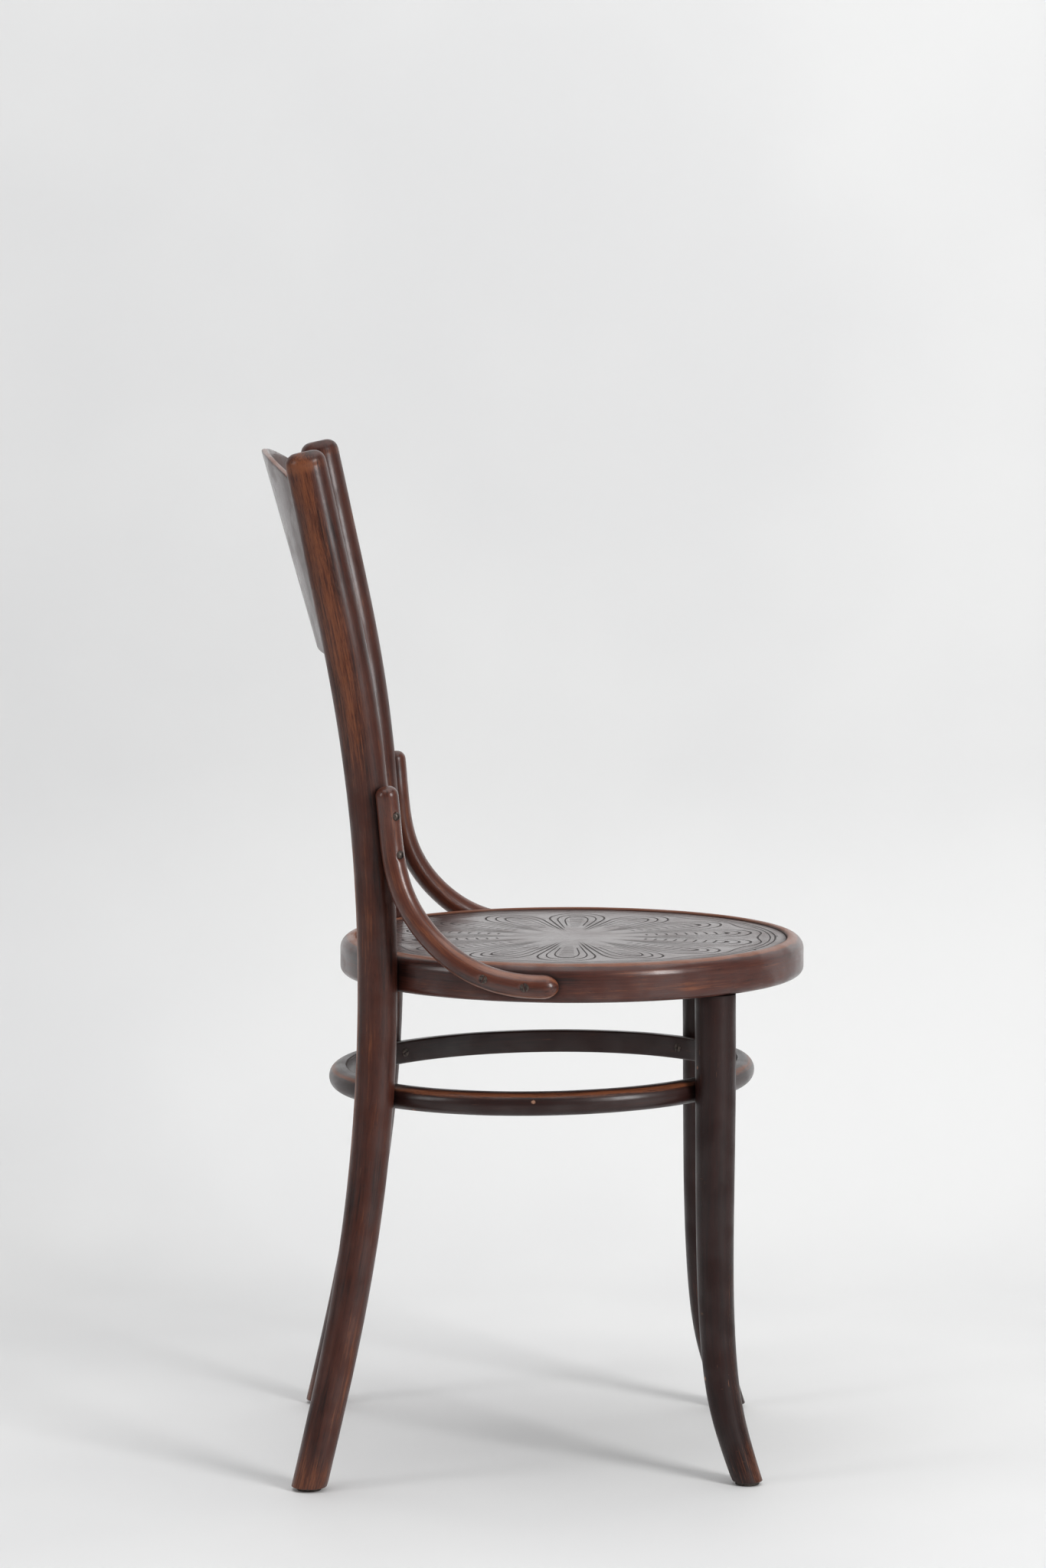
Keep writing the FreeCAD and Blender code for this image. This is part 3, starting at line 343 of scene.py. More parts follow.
def rounded(corners, step=1.0):
    """A closed outline with rounded corners (x, y, radius) and points about a step apart."""
    points = []
    count = len(corners)
    for index, (x, y, radius) in enumerate(corners):
        corner = np.array((x, y), float)
        before = np.array(corners[index - 1][:2], float) - corner
        after = np.array(corners[(index + 1) % count][:2], float) - corner
        before, after = before / np.linalg.norm(before), after / np.linalg.norm(after)
        if radius:
            middle = corner + (before + after) * radius
            for turn in np.linspace(0, math.pi / 2, max(3, round(radius * 1.6 / step))):
                points.append(middle - after * radius * math.cos(turn) - before * radius * math.sin(turn))
        else:
            points.append(corner)
    filled = []
    for index, point in enumerate(points):
        following = points[(index + 1) % len(points)]
        pieces = max(1, round(np.linalg.norm(following - point) / (3 * step)))
        filled += [point + (following - point) * k / pieces for k in range(pieces)]
    return filled


# Where pieces are let into each other

def rim_edge(height):
    """The rim's outer reach at a height, and -1 away from it."""
    height = np.asarray(height, float)
    drop = np.maximum(RIM_BASE + RIM_BASE_ROUND - height, 0) / RIM_BASE_ROUND
    lift = np.maximum(height - SEAT_TOP + RIM_TOP_ROUND, 0) / RIM_TOP_ROUND
    inset = RIM_BASE_ROUND * (1 - np.sqrt(np.clip(1 - drop ** 2, 0, 1)))
    inset = inset + RIM_TOP_ROUND * (1 - np.sqrt(np.clip(1 - lift ** 2, 0, 1)))
    beside = (height > RIM_BASE - GAP) & (height < SEAT_TOP + GAP)
    return np.where(beside, RIM_RADIUS - inset, -1)


def clear_of_rim(points):
    reach = np.hypot(points[..., 0], points[..., 1])
    push = np.maximum(rim_edge(points[..., 2]) + GAP, reach) / np.maximum(reach, 1)
    points[..., :2] *= push[..., None]


def clear_of_ring(points):
    x, y = points[..., 0], points[..., 1] - RING_BACK
    reach = np.hypot(x, y)
    height = points[..., 2] - RING_LEVEL + y * math.tan(math.radians(RING_TILT))
    half = RING_HEIGHT / 2
    edge = RING_RADIUS - half + np.sqrt(np.clip(half ** 2 - height ** 2, 0, None))
    wanted = np.where(np.abs(height) < half, edge + GAP, -1)
    push = np.maximum(wanted, reach) / np.maximum(reach, 1)
    points[..., 0] = x * push
    points[..., 1] = y * push + RING_BACK


def post_middle(heights):
    rows = np.array(POST, float)
    return natural_spline(rows[:, 0], rows[:, 1:], np.atleast_1d(heights))


def brace_way():
    """The level direction from the left post's centre to the brace's centre."""
    middle = post_middle(BRACE_LEVEL + BRACE_BEND)[0]
    turn = math.atan2(middle[0], middle[1]) + math.radians(2.85)
    return np.array([math.cos(turn), -math.sin(turn), 0])


def post_half():
    return (POST[4][3] + POST[4][4]) / 4


def plane_flat(points, keep_post, side):
    """Planes the rod where the brace lies on the post."""
    way = brace_way() * np.array([side, 1, 1])
    height = (BRACE_TOP + BRACE_FLAT_LOW) / 2 + 10
    middle = post_middle(height)[0]
    contact = np.array([side * middle[0], middle[1], 0]) + way * (post_half() - BRACE_PLANING / 2)
    past = (points - contact) @ way
    past = np.maximum(past + GAP / 2, 0) if keep_post else np.minimum(past - GAP / 2, 0)
    beside = (points[..., 2] > BRACE_FLAT_LOW) & (points[..., 2] < BRACE_TOP + 3)
    across = np.abs((points - contact) @ np.cross(way, (0, 0, 1))) < BRACE_SIZE
    points -= np.where(beside & across, past, 0)[..., None] * way


# Rods

def rod_rings(rows, side, levels, around, lean=0, dome=0):
    """Rings up a rod, each an ellipse, with a small round at the foot and a dome at a leaning top."""
    rows = np.array(rows, float)
    turn = np.arange(around) * 2 * math.pi / around
    unit = np.stack([np.cos(turn), np.sin(turn)], 1)
    top = rows[-1]
    tip = math.radians(lean)
    axis = np.array([0, math.sin(tip), math.cos(tip)])
    rings, grain = [], []

    def add(middle, width, depth, tilt, along):
        width, depth = max(width, 0.05), max(depth, 0.05)
        ring = np.zeros((around, 3))
        ring[:, 0] = side * (middle[0] + unit[:, 0] * width / 2)
        ring[:, 1] = middle[1] + unit[:, 1] * depth / 2 * math.cos(tilt)
        ring[:, 2] = middle[2] - unit[:, 1] * depth / 2 * math.sin(tilt)
        rings.append(ring)
        grain.append(np.stack([unit[:, 0] * width / 2, unit[:, 1] * depth / 2, np.full(around, along)], 1))

    values = natural_spline(rows[:, 0], rows[:, 1:], levels)
    foot = values[0]
    for turned_by in (0, 30, 60):
        inset = 2 * FOOT_ROUND * (1 - math.sin(math.radians(turned_by)))
        lift = FOOT_ROUND * (1 - math.cos(math.radians(turned_by)))
        add((foot[0], foot[1], levels[0] + lift), foot[3] - inset, foot[2] - inset, 0, levels[0] + lift)
    for level, (x, y, depth, width) in zip(levels, values):
        if level < levels[0] + FOOT_ROUND:
            continue
        tilt = tip * smooth(top[0] - 70, top[0] - dome - 2, level)
        if dome and level > top[0] - dome * math.cos(tip) - 1:
            break
        add((x, y, level), width, depth, tilt, level)
    if dome:
        for step in range(9):
            turned_by = math.radians(step * 11.25)
            middle = np.array([top[1], top[2], top[0]]) - axis * dome * (1 - math.sin(turned_by))
            inset = 2 * dome * (1 - math.cos(turned_by))
            add(middle, top[4] - inset, top[3] - inset, tip, top[0] - dome + dome * turned_by)
        for share in (0.6, 0.25):
            width, depth = ((size - 2 * dome) * share for size in (top[4], top[3]))
            add((top[1], top[2], top[0]), width, depth, tip, top[0])
    return np.array(rings), np.array(grain)


def levels_for(low, high, fine):
    """Heights up a rod, closer together where it meets another piece."""
    levels = [low]
    while levels[-1] < high - 0.5:
        close = any(start <= levels[-1] < end for start, end in fine)
        levels.append(min(levels[-1] + (1.6 if close else 5), high))
    return np.array(levels)


def make_post(name, side):
    shift = (40 * side, 10, 0)
    levels = levels_for(POST[0][0], POST[-1][0], ((322, 352), (422, 464), (500, 514), (600, 614), (855, 892)))
    rings, grain = rod_rings(POST, side, levels, 72, POST_LEAN, POST_DOME)
    grain += shift
    clear_of_rim(rings)
    clear_of_ring(rings)
    plane_flat(rings, True, side)
    piece = capped_rod(name, rings, grain)
    turn, height = about_rod(grain, shift)
    rear_edge = np.exp(-((turn - 78) / 16) ** 2) * smooth(200, 300, height) * (1 - smooth(520, 600, height))
    side_face = np.exp(-((turn - 22) / 52) ** 2) * smooth(540, 680, height) * 0.62
    dome_edge = smooth(872, 879, height) * (1 - smooth(881, 887, height)) * 0.4
    foot = (1 - smooth(8, 60, height)) * 0.5
    paint(piece, "rub", rear_edge * 0.8 + side_face + dome_edge + foot)
    return piece


def make_leg(name, side):
    shift = (30 * side, -70, 0)
    top = LEG[-1][0]
    levels = levels_for(LEG[0][0], top, ((322, 352), (420, 427)))
    rings, grain = rod_rings(LEG, side, levels, 64)
    last, last_grain = rings[-1], grain[-1]
    middle, grain_middle = last.mean(0), last_grain.mean(0)
    extra, extra_grain = [], []
    for height, radius in ((top, TENON_RADIUS), (TENON_TOP - TENON_BEVEL, TENON_RADIUS),
                           (TENON_TOP, TENON_RADIUS - TENON_BEVEL)):
        share = radius / (LEG[-1][3] / 2)
        extra.append(middle + (last - middle) * share + (0, 0, height - top))
        extra_grain.append(grain_middle + (last_grain - grain_middle) * share + (0, 0, height - top))
    rings = np.concatenate([rings, extra])
    grain = np.concatenate([grain, extra_grain]) + shift
    clear_of_ring(rings)
    piece = capped_rod(name, rings, grain)
    turn, height = about_rod(grain, shift)
    front = np.exp(-((turn + 60) / 40) ** 2) * (1 - smooth(120, 330, height)) * 0.3
    paint(piece, "rub", front + (1 - smooth(8, 60, height)) * 0.25)
    return piece


def brace_points():
    """Centre points of the left brace, from its top to its nose."""
    way = brace_way()
    reach = post_half() + BRACE_SIZE / 2 - BRACE_PLANING
    centre = BRACE_LEVEL + BRACE_BEND
    points = []
    for level in (BRACE_TOP, (BRACE_TOP + centre) / 2):
        middle = post_middle(level)[0]
        points.append(np.array([middle[0], middle[1], level]) + way * reach)
    middle = post_middle(centre)[0]
    start = np.array([middle[0], middle[1]]) + way[:2] * reach
    start_reach, start_turn = math.hypot(*start), math.atan2(*start)
    rim_reach = RIM_RADIUS + BRACE_OFFSET
    for step in range(5):
        angle, share = math.radians(22.5 * step), step / 4
        out = start_reach + (rim_reach - start_reach) * share * share * (3 - 2 * share)
        turn = start_turn + BRACE_BEND * (1 - math.cos(angle)) / ((start_reach + rim_reach) / 2)
        level = centre - BRACE_BEND * math.sin(angle)
        points.append(np.array([out * math.sin(turn), out * math.cos(turn), level]))
    turn += BRACE_TAIL / rim_reach
    points.append(np.array([rim_reach * math.sin(turn), rim_reach * math.cos(turn), points[-1][2]]))
    return np.array(points)


def press_flat(points, place_at, outward, reach):
    """Sinks the wood into a small flat under a screw's head, with a soft edge."""
    offset = points - place_at
    above = offset @ outward
    beside = np.linalg.norm(offset - above[..., None] * outward, axis=-1)
    share = 1 - smooth(reach, reach + 1.3, beside)
    points -= (np.where(above > -4, np.maximum(above, 0), 0) * share)[..., None] * outward


def brace_screws():
    """Head centres and outward ways on the left brace: two on the post, two on the rim."""
    samples, upper_part = 2000, 1200
    knots = brace_points()
    run = lengths_along(knots)
    places = np.linspace(0, run[-1], samples)
    line = natural_spline(run, knots, places)
    on_the_post, on_the_rim = [], []
    way = brace_way()
    for level in POST_SCREW_LEVELS:
        centre = line[np.argmin(np.abs(line[:, 2] - level) + (np.arange(samples) > upper_part) * 1000)]
        on_the_post.append((centre + way * (BRACE_SIZE / 2 - HEAD_SINK), way))
    for inset in RIM_SCREW_INSETS:
        centre = line[np.argmin(np.abs(places - (run[-1] - inset)))]
        out = np.array([centre[0], centre[1], 0]) / math.hypot(centre[0], centre[1])
        on_the_rim.append((centre + out * (BRACE_NOSE / 2 - HEAD_SINK - 0.1), out))
    return on_the_post, on_the_rim


def make_brace(name, side):
    shift = (90 * side, 25, 0)
    knots = brace_points()
    run = lengths_along(knots)
    length = run[-1]
    bows = [0, 0.35, 1, 2, 3.3, 5, 6.5]
    tips = [BRACE_TIP * (1 - math.cos(math.radians(k))) for k in (0, 9, 18, 27, 36, 45, 54, 63, 72, 81)]
    middle_run = np.arange(BRACE_DOME, length - BRACE_TIP, 1.2)
    stations = np.concatenate([bows, middle_run, length - np.array(tips[::-1])])
    middle = natural_spline(run, knots, stations)
    ways = np.gradient(natural_spline(run, knots, np.linspace(0, length, 400)), axis=0)
    ways = np.array([np.interp(stations, np.linspace(0, length, 400), ways[:, k]) for k in range(3)]).T
    ways /= np.linalg.norm(ways, axis=1)[:, None]
    around = 72
    turn = np.arange(around) * 2 * math.pi / around
    rings, grain = [], []
    for along, point, way in zip(stations, middle, ways):
        outward = np.array([point[0], point[1], 0]) / math.hypot(point[0], point[1])
        outward = outward - way * outward.dot(way)
        outward /= np.linalg.norm(outward)
        beside = np.cross(way, outward)
        share = smooth(length * 0.45, length * 0.8, along)
        radius = (BRACE_SIZE + (BRACE_NOSE - BRACE_SIZE) * share) / 2
        if along < BRACE_DOME:
            radius -= BRACE_DOME - math.sqrt(BRACE_DOME ** 2 - (BRACE_DOME - along) ** 2)
        if along > length - BRACE_TIP:
            radius *= math.sqrt(max(1 - ((along - length + BRACE_TIP) / BRACE_TIP) ** 2, 0.001))
        rings.append(point + radius * (np.outer(np.cos(turn), outward) + np.outer(np.sin(turn), beside)))
        grain.append(np.stack([radius * np.cos(turn) + shift[0], radius * np.sin(turn) + shift[1],
                               np.full(around, along)], 1))
    rings, grain = np.array(rings), np.array(grain)
    for sites, reach in zip(brace_screws(), (DOME_HEAD[0] / 2, FLAT_HEAD[0] / 2 + 0.2)):
        for place_at, outward in sites:
            press_flat(rings, place_at, outward, reach)
    rings[..., 0] *= side
    plane_flat(rings, False, side)
    clear_of_rim(rings)
    piece = capped_rod(name, rings, grain)
    turn, along = about_rod(grain, shift)
    upper = np.exp(-((turn + 70) / 22) ** 2) * smooth(80, 140, along)
    lower = np.exp(-((turn - 60) / 20) ** 2) * smooth(100, 170, along) * 0.7
    paint(piece, "rub", upper + lower + 0.15)
    return piece


# Rings and panels

def make_rim():
    rebate = PANEL_RADIUS + 0.15
    inner = RIM_RADIUS - RIM_WIDTH
    ledge = PANEL_TOP - PANEL_THICKNESS
    outline = rounded([(inner, RIM_BASE, 1.2), (RIM_RADIUS, RIM_BASE, RIM_BASE_ROUND),
                       (RIM_RADIUS, SEAT_TOP, RIM_TOP_ROUND), (rebate, SEAT_TOP, RIM_EDGE_ROUND),
                       (rebate, ledge, 0), (inner, ledge, 0)])
    piece = turned("bent_seat_rim", outline, seam=math.radians(39.5))
    points = np.array([v.co for v in piece.data.vertices]) / MM
    reach = np.hypot(points[:, 0], points[:, 1] - SEAT_Y)
    height = points[:, 2]
    crest = smooth(SEAT_TOP - 3.2, SEAT_TOP - 0.5, height) * smooth(189, 190.5, reach)
    paint(piece, "rub", crest * 0.95 + 0.25 * (1 - smooth(RIM_BASE, RIM_BASE + 4, height)))
    return piece


def geometry_group(name, inputs):
    """A geometry node group with named inputs (name, kind, default) and one geometry output."""
    tree = bpy.data.node_groups.new(name, "GeometryNodeTree")
    for label, kind, default in inputs:
        socket = tree.interface.new_socket(label, in_out="INPUT", socket_type=f"NodeSocket{kind}")
        if default is not None:
            socket.default_value = default
    tree.interface.new_socket("Geometry", in_out="OUTPUT", socket_type="NodeSocketGeometry")
    wiring = Wiring(tree)
    return tree, wiring, wiring.node("NodeGroupInput").outputs, wiring.node("NodeGroupOutput").inputs


def grown(name, tree, values, start=None, sharp=35):
    """Run a geometry group with its named inputs set and keep the mesh that it makes."""
    piece = bpy.data.objects.new(name, start or bpy.data.meshes.new(name))
    bpy.context.scene.collection.objects.link(piece)
    modifier = piece.modifiers.new(tree.name, "NODES")
    modifier.node_group = tree
    for item in tree.interface.items_tree:
        if item.in_out == "INPUT" and item.name in values:
            modifier[item.identifier] = values[item.name]
    graph = bpy.context.evaluated_depsgraph_get()
    mesh = bpy.data.meshes.new_from_object(piece.evaluated_get(graph), depsgraph=graph)
    piece.modifiers.clear()
    piece.data = mesh
    mesh.name = name
    mesh.shade_smooth()
    mesh.set_sharp_from_angle(angle=math.radians(sharp))
    return piece


def hoop_group():
    """A bent hoop: a rounded section swept round a circle, with its grain kept on the points."""
    tree, w, given, out = geometry_group("bent_hoop", [
        ("Inner Radius", "Float", 0.17), ("Thickness", "Float", 0.016), ("Height", "Float", 0.02),
        ("Outer Round", "Float", 0.01), ("Inner Round", "Float", 0.002), ("Steps", "Int", 320),
        ("Round Steps", "Int", 12), ("Finish", "Material", None)])
    path = w.fed("GeometryNodeCurvePrimitiveCircle",
                 {"Resolution": given["Steps"], "Radius": given["Inner Radius"]})
    keep = w.node("GeometryNodeCaptureAttribute", domain="POINT")
    keep.capture_items.new("FLOAT", "Share")
    w.join(path.outputs["Curve"], keep.inputs["Geometry"])
    w.join(w.node("GeometryNodeSplineParameter").outputs["Factor"], keep.inputs["Share"])
    section = w.fed("GeometryNodeCurvePrimitiveQuadrilateral",
                    {"Width": given["Thickness"], "Height": given["Height"]}, mode="RECTANGLE")
    corner = w.split(w.node("GeometryNodeInputPosition").outputs[0])[0]
    outside = w.maths("GREATER_THAN", corner, 0.0)
    difference = w.maths("SUBTRACT", given["Outer Round"], given["Inner Round"])
    fillet = w.fed("GeometryNodeFilletCurve", {
        "Curve": section.outputs["Curve"], "Count": given["Round Steps"],
        "Radius": w.maths("MULTIPLY_ADD", outside, difference, given["Inner Round"])}, mode="POLY")
    half = w.maths("MULTIPLY", given["Thickness"], 0.5)
    shift = w.fed("GeometryNodeTransform", {
        "Geometry": fillet.outputs["Curve"], "Translation": w.combine(half, 0.0, 0.0)})
    sweep = w.fed("GeometryNodeCurveToMesh", {
        "Curve": keep.outputs["Geometry"], "Profile Curve": shift.outputs["Geometry"]})
    x, y, z = w.split(w.node("GeometryNodeInputPosition").outputs[0])
    turn = w.maths("MULTIPLY", keep.outputs["Share"], 2 * math.pi)
    around = w.maths("MULTIPLY", turn, given["Inner Radius"])
    store = w.fed("GeometryNodeStoreNamedAttribute", {
        "Geometry": sweep.outputs["Mesh"], "Name": "grain",
        "Value": w.combine(w.reach(x, y), z, around)}, data_type="FLOAT_VECTOR", domain="POINT")
    finish = w.fed("GeometryNodeSetMaterial", {
        "Geometry": store.outputs["Geometry"], "Material": given["Finish"]})
    w.join(finish.outputs["Geometry"], out[0])
    return tree


def make_ring():
    """The leg ring, grown by its geometry group, then tipped back and set at its level."""
    piece = grown("bent_leg_ring", hoop_group(), {
        "Inner Radius": (RING_RADIUS - RING_THICKNESS) * MM, "Thickness": RING_THICKNESS * MM,
        "Height": RING_HEIGHT * MM, "Outer Round": (RING_HEIGHT / 2 - 0.2) * MM, "Inner Round": 0.002,
        "Steps": 320, "Round Steps": 12})
    points = np.array([v.co for v in piece.data.vertices]) / MM
    reach = np.hypot(points[:, 0], points[:, 1])
    top_edge = np.exp(-((points[:, 2] - 8) / 2.5) ** 2) * smooth(RING_RADIUS - 12, RING_RADIUS - 4, reach)
    paint(piece, "rub", top_edge * 0.8)
    set_at = Matrix.Translation(Vector((0, SEAT_Y + RING_BACK, RING_LEVEL)) * MM)
    tip = Matrix.Rotation(math.radians(-RING_TILT), 4, "X")
    seam_behind_post = Matrix.Rotation(math.radians(90 - RING_SCREW_ANGLES[0]), 4, "Z")
    piece.data.transform(set_at @ tip @ seam_behind_post)
    return piece


def screw_group():
    """Slotted screws on points: the head domed by a formula, its slot cut, and a plain shank."""
    tree, w, given, out = geometry_group("slotted_screws", [
        ("Geometry", "Geometry", None), ("Head Size", "Float", 0.0074), ("Head Height", "Float", 0.0026),
        ("Slot Width", "Float", 0.001), ("Slot Depth", "Float", 0.001), ("Shank Size", "Float", 0.0038),
        ("Shank Length", "Float", 0.024), ("Finish", "Material", None)])
    radius = w.maths("MULTIPLY", given["Head Size"], 0.5)
    rim_height = 0.0004
    head = w.fed("GeometryNodeMeshCylinder", {
        "Radius": radius, "Vertices": 48, "Side Segments": 1, "Fill Segments": 10,
        "Depth": rim_height}, fill_type="TRIANGLE_FAN")
    x, y, _ = w.split(w.node("GeometryNodeInputPosition").outputs[0])
    share = w.maths("MINIMUM", w.maths("DIVIDE", w.reach(x, y), radius), 1.0)
    dome = w.maths("SQRT", w.maths("SUBTRACT", 1.0, w.maths("MULTIPLY", share, share)))
    raised = w.fed("GeometryNodeSetPosition", {
        "Geometry": head.outputs["Mesh"], "Selection": head.outputs["Top"],
        "Offset": w.combine(0.0, 0.0, w.maths("MULTIPLY", dome, given["Head Height"]))})
    deep = w.maths("MULTIPLY", given["Slot Depth"], 2.0)
    cutter = w.fed("GeometryNodeMeshCube", {"Size": w.combine(given["Head Size"], given["Slot Width"], deep)})
    crest = w.maths("ADD", given["Head Height"], rim_height / 2)
    lifted = w.fed("GeometryNodeTransform", {
        "Geometry": cutter.outputs["Mesh"], "Translation": w.combine(0.0, 0.0, crest)})
    slotted = w.fed("GeometryNodeMeshBoolean", {
        "Mesh 1": raised.outputs["Geometry"], "Mesh 2": lifted.outputs["Geometry"]},
        operation="DIFFERENCE", solver="EXACT")
    shank = w.fed("GeometryNodeMeshCylinder", {
        "Vertices": 20, "Radius": w.maths("MULTIPLY", given["Shank Size"], 0.5),
        "Depth": given["Shank Length"]}, fill_type="TRIANGLE_FAN")
    down = w.maths("SUBTRACT", w.maths("MULTIPLY", given["Shank Length"], -0.5), rim_height / 2)
    lowered = w.fed("GeometryNodeTransform", {
        "Geometry": shank.outputs["Mesh"], "Translation": w.combine(0.0, 0.0, down)})
    screw = w.node("GeometryNodeJoinGeometry")
    w.join(slotted.outputs["Mesh"], screw.inputs["Geometry"])
    w.join(lowered.outputs["Geometry"], screw.inputs["Geometry"])
    turn = w.fed("GeometryNodeInputNamedAttribute", {"Name": "turn"}, data_type="FLOAT_VECTOR")
    driven = w.fed("GeometryNodeInstanceOnPoints", {
        "Points": given["Geometry"], "Instance": screw.outputs["Geometry"],
        "Rotation": turn.outputs["Attribute"]})
    real = w.fed("GeometryNodeRealizeInstances", {"Geometry": driven.outputs["Instances"]})
    finish = w.fed("GeometryNodeSetMaterial", {
        "Geometry": real.outputs["Geometry"], "Material": given["Finish"]})
    w.join(finish.outputs["Geometry"], out[0])
    return tree


def drive_screws(name, sites, head, slot_turns):
    """Screws at sites (place, outward way) in millimetres, each slot turned by its own angle."""
    points = bpy.data.meshes.new(f"{name}_places")
    points.from_pydata(place([site[0] for site in sites]).tolist(), [], [])
    layer = points.attributes.new("turn", "FLOAT_VECTOR", "POINT")
    for index, (site, slot_turn) in enumerate(zip(sites, slot_turns)):
        facing = Vector(site[1]).to_track_quat("Z", "Y").to_matrix()
        spun = facing @ Matrix.Rotation(math.radians(slot_turn), 3, "Z")
        layer.data[index].vector = spun.to_euler()
    size, height = head
    return grown(name, SCREW_GROUP, {
        "Head Size": size * MM, "Head Height": height * MM, "Slot Width": SLOT_WIDTH * MM,
        "Slot Depth": SLOT_DEPTH * MM, "Shank Size": SHANK_SIZE * MM, "Shank Length": SHANK_LENGTH * MM,
        "Finish": finishes["dark_screw"]}, start=points)


def make_screws():
    """The slotted screws of the braces and the leg ring, one object for each kind."""
    mirror = np.array([-1, 1, 1])
    post_sites, rim_sites = brace_screws()
    ring_sites = []
    for angle in RING_SCREW_ANGLES:
        turn = math.radians(angle)
        out = np.array([math.sin(turn), math.cos(turn), 0])
        reach = RING_RADIUS - RING_THICKNESS - 0.2
        level = RING_LEVEL - out[1] * reach * math.tan(math.radians(RING_TILT))
        ring_sites.append((np.array([out[0] * reach, RING_BACK + out[1] * reach, level]), -out))
    made = {}
    for node, sites, head, turns in (("brace_post_screws", post_sites, DOME_HEAD, (78, 64, 100, 85)),
                                     ("brace_rim_screws", rim_sites, FLAT_HEAD, (84, 96, 60, 110)),
                                     ("ring_screws", ring_sites, FLAT_HEAD, (20, 75, 50, 10))):
        both = [(at, way) for at, way in sites] + [(at * mirror, way * mirror) for at, way in sites]
        made[node] = drive_screws(f"slotted_{node}", both, head, turns)
    return made


def make_back():
    """The bent sheet, rings of points round its thickness from one end to the other."""
    columns, rows = 150, 70
    crown_radius = (SHEET_HALF ** 2 + SHEET_CROWN ** 2) / (2 * SHEET_CROWN)
    arch_radius = (SHEET_HALF ** 2 + SHEET_ARCH ** 2) / (2 * SHEET_ARCH)
    half_thick = SHEET_THICKNESS / 2
    ease = SHEET_ROUND

    def sheet_point(share, height, offset):
        rise = (height - SHEET_LOW[0]) / (SHEET_HIGH[0] - SHEET_LOW[0])
        half, depth, bulge = (SHEET_LOW[k] + (SHEET_HIGH[k] - SHEET_LOW[k]) * rise for k in (1, 2, 3))
        radius = (half * half + bulge * bulge) / (2 * bulge)
        turn = share * math.asin(half / radius)
        reach = radius + offset
        return np.array([reach * math.sin(turn), depth + bulge - radius + reach * math.cos(turn), height])

    rings, grain = [], []
    for column in range(columns + 1):
        share = -1 + 2 * column / columns
        across = abs(share) * SHEET_HALF
        top = SHEET_SHOULDER + SHEET_CROWN - crown_radius + math.sqrt(crown_radius ** 2 - across ** 2)
        low = SHEET_BOTTOM + SHEET_ARCH - arch_radius + math.sqrt(arch_radius ** 2 - across ** 2)
        ring, ring_grain = [], []
        outline = [(low + ease + (top - low - 2 * ease) * k / rows, half_thick) for k in range(rows + 1)]
        outline += [(top - ease + ease * math.sin(a), half_thick - ease + ease * math.cos(a))
                    for a in np.radians((30, 60, 90))]
        outline += [(top - ease + ease * math.cos(a), -half_thick + ease - ease * math.sin(a))
                    for a in np.radians((0, 30, 60))]
        outline += [(top - ease - (top - low - 2 * ease) * k / rows, -half_thick) for k in range(rows + 1)]
        outline += [(low + ease - ease * math.sin(a), -half_thick + ease - ease * math.cos(a))
                    for a in np.radians((30, 60, 90))]
        outline += [(low + ease - ease * math.cos(a), half_thick - ease + ease * math.sin(a))
                    for a in np.radians((0, 30, 60))]
        for height, offset in outline:
            ring.append(sheet_point(share, height, offset))
            ring_grain.append((share * 170, offset, height))
        rings.append(ring)
        grain.append(ring_grain)
    rings, grain = np.array(rings), np.array(grain)
    piece = capped_rod("bent_back_panel", rings, grain)
    points = np.concatenate([grain.reshape(-1, 3), grain[[0, -1]].mean(1)])
    edge = 1 - np.abs(points[:, 1]) / half_thick
    paint(piece, "rub", smooth(0.0, 0.4, edge) * 0.7)
    return piece


def make_seat():
    """The pressed seat: soft lobes that swell a little between the lines of the pressing."""
    steps, rings = LOBES * 18, 90
    angles = np.arange(steps) * 2 * math.pi / steps
    middle = 1.5
    reaches = np.concatenate([np.linspace(middle, PANEL_RADIUS - 1.2, rings),
                              PANEL_RADIUS - np.array([0.7, 0.3, 0])])
    drop = np.concatenate([np.zeros(rings), [0.1, 0.4, 1.2]])
    share = np.abs((((angles - LOBE_TURN) * LOBES / (2 * math.pi) + 0.5) % 1) - 0.5) * 2
    points = []
    for reach, lower in zip(reaches, drop):
        body = smooth(40, 90, reach) * (1 - smooth(150, 166, reach))
        swell = SEAT_SWELL * (0.5 - 0.5 * np.cos(np.pi * (1 - share))) * body
        height = PANEL_TOP - lower - SEAT_SWELL * body + swell
        points.append(np.stack([reach * np.cos(angles), reach * np.sin(angles), height], 1))
    for reach in (PANEL_RADIUS, middle):
        points.append(np.stack([reach * np.cos(angles), reach * np.sin(angles),
                                np.full(steps, PANEL_TOP - PANEL_THICKNESS)], 1))
    points = np.array(points)
    grain = points[..., [0, 2, 1]] + (200, 0, 0)
    return capped_rod("pressed_seat", points, grain)


wood_pieces = {"seat_rim": make_rim(), "leg_ring": make_ring(), "back_panel": make_back(),
               "seat_panel": make_seat()}
for side_name, side in SIDES.items():
    wood_pieces[f"rear_post_{side_name}"] = make_post(f"bent_rear_post_{side_name}", side)
    wood_pieces[f"front_leg_{side_name}"] = make_leg(f"bent_front_leg_{side_name}", side)
    wood_pieces[f"side_brace_{side_name}"] = make_brace(f"bent_side_brace_{side_name}", side)


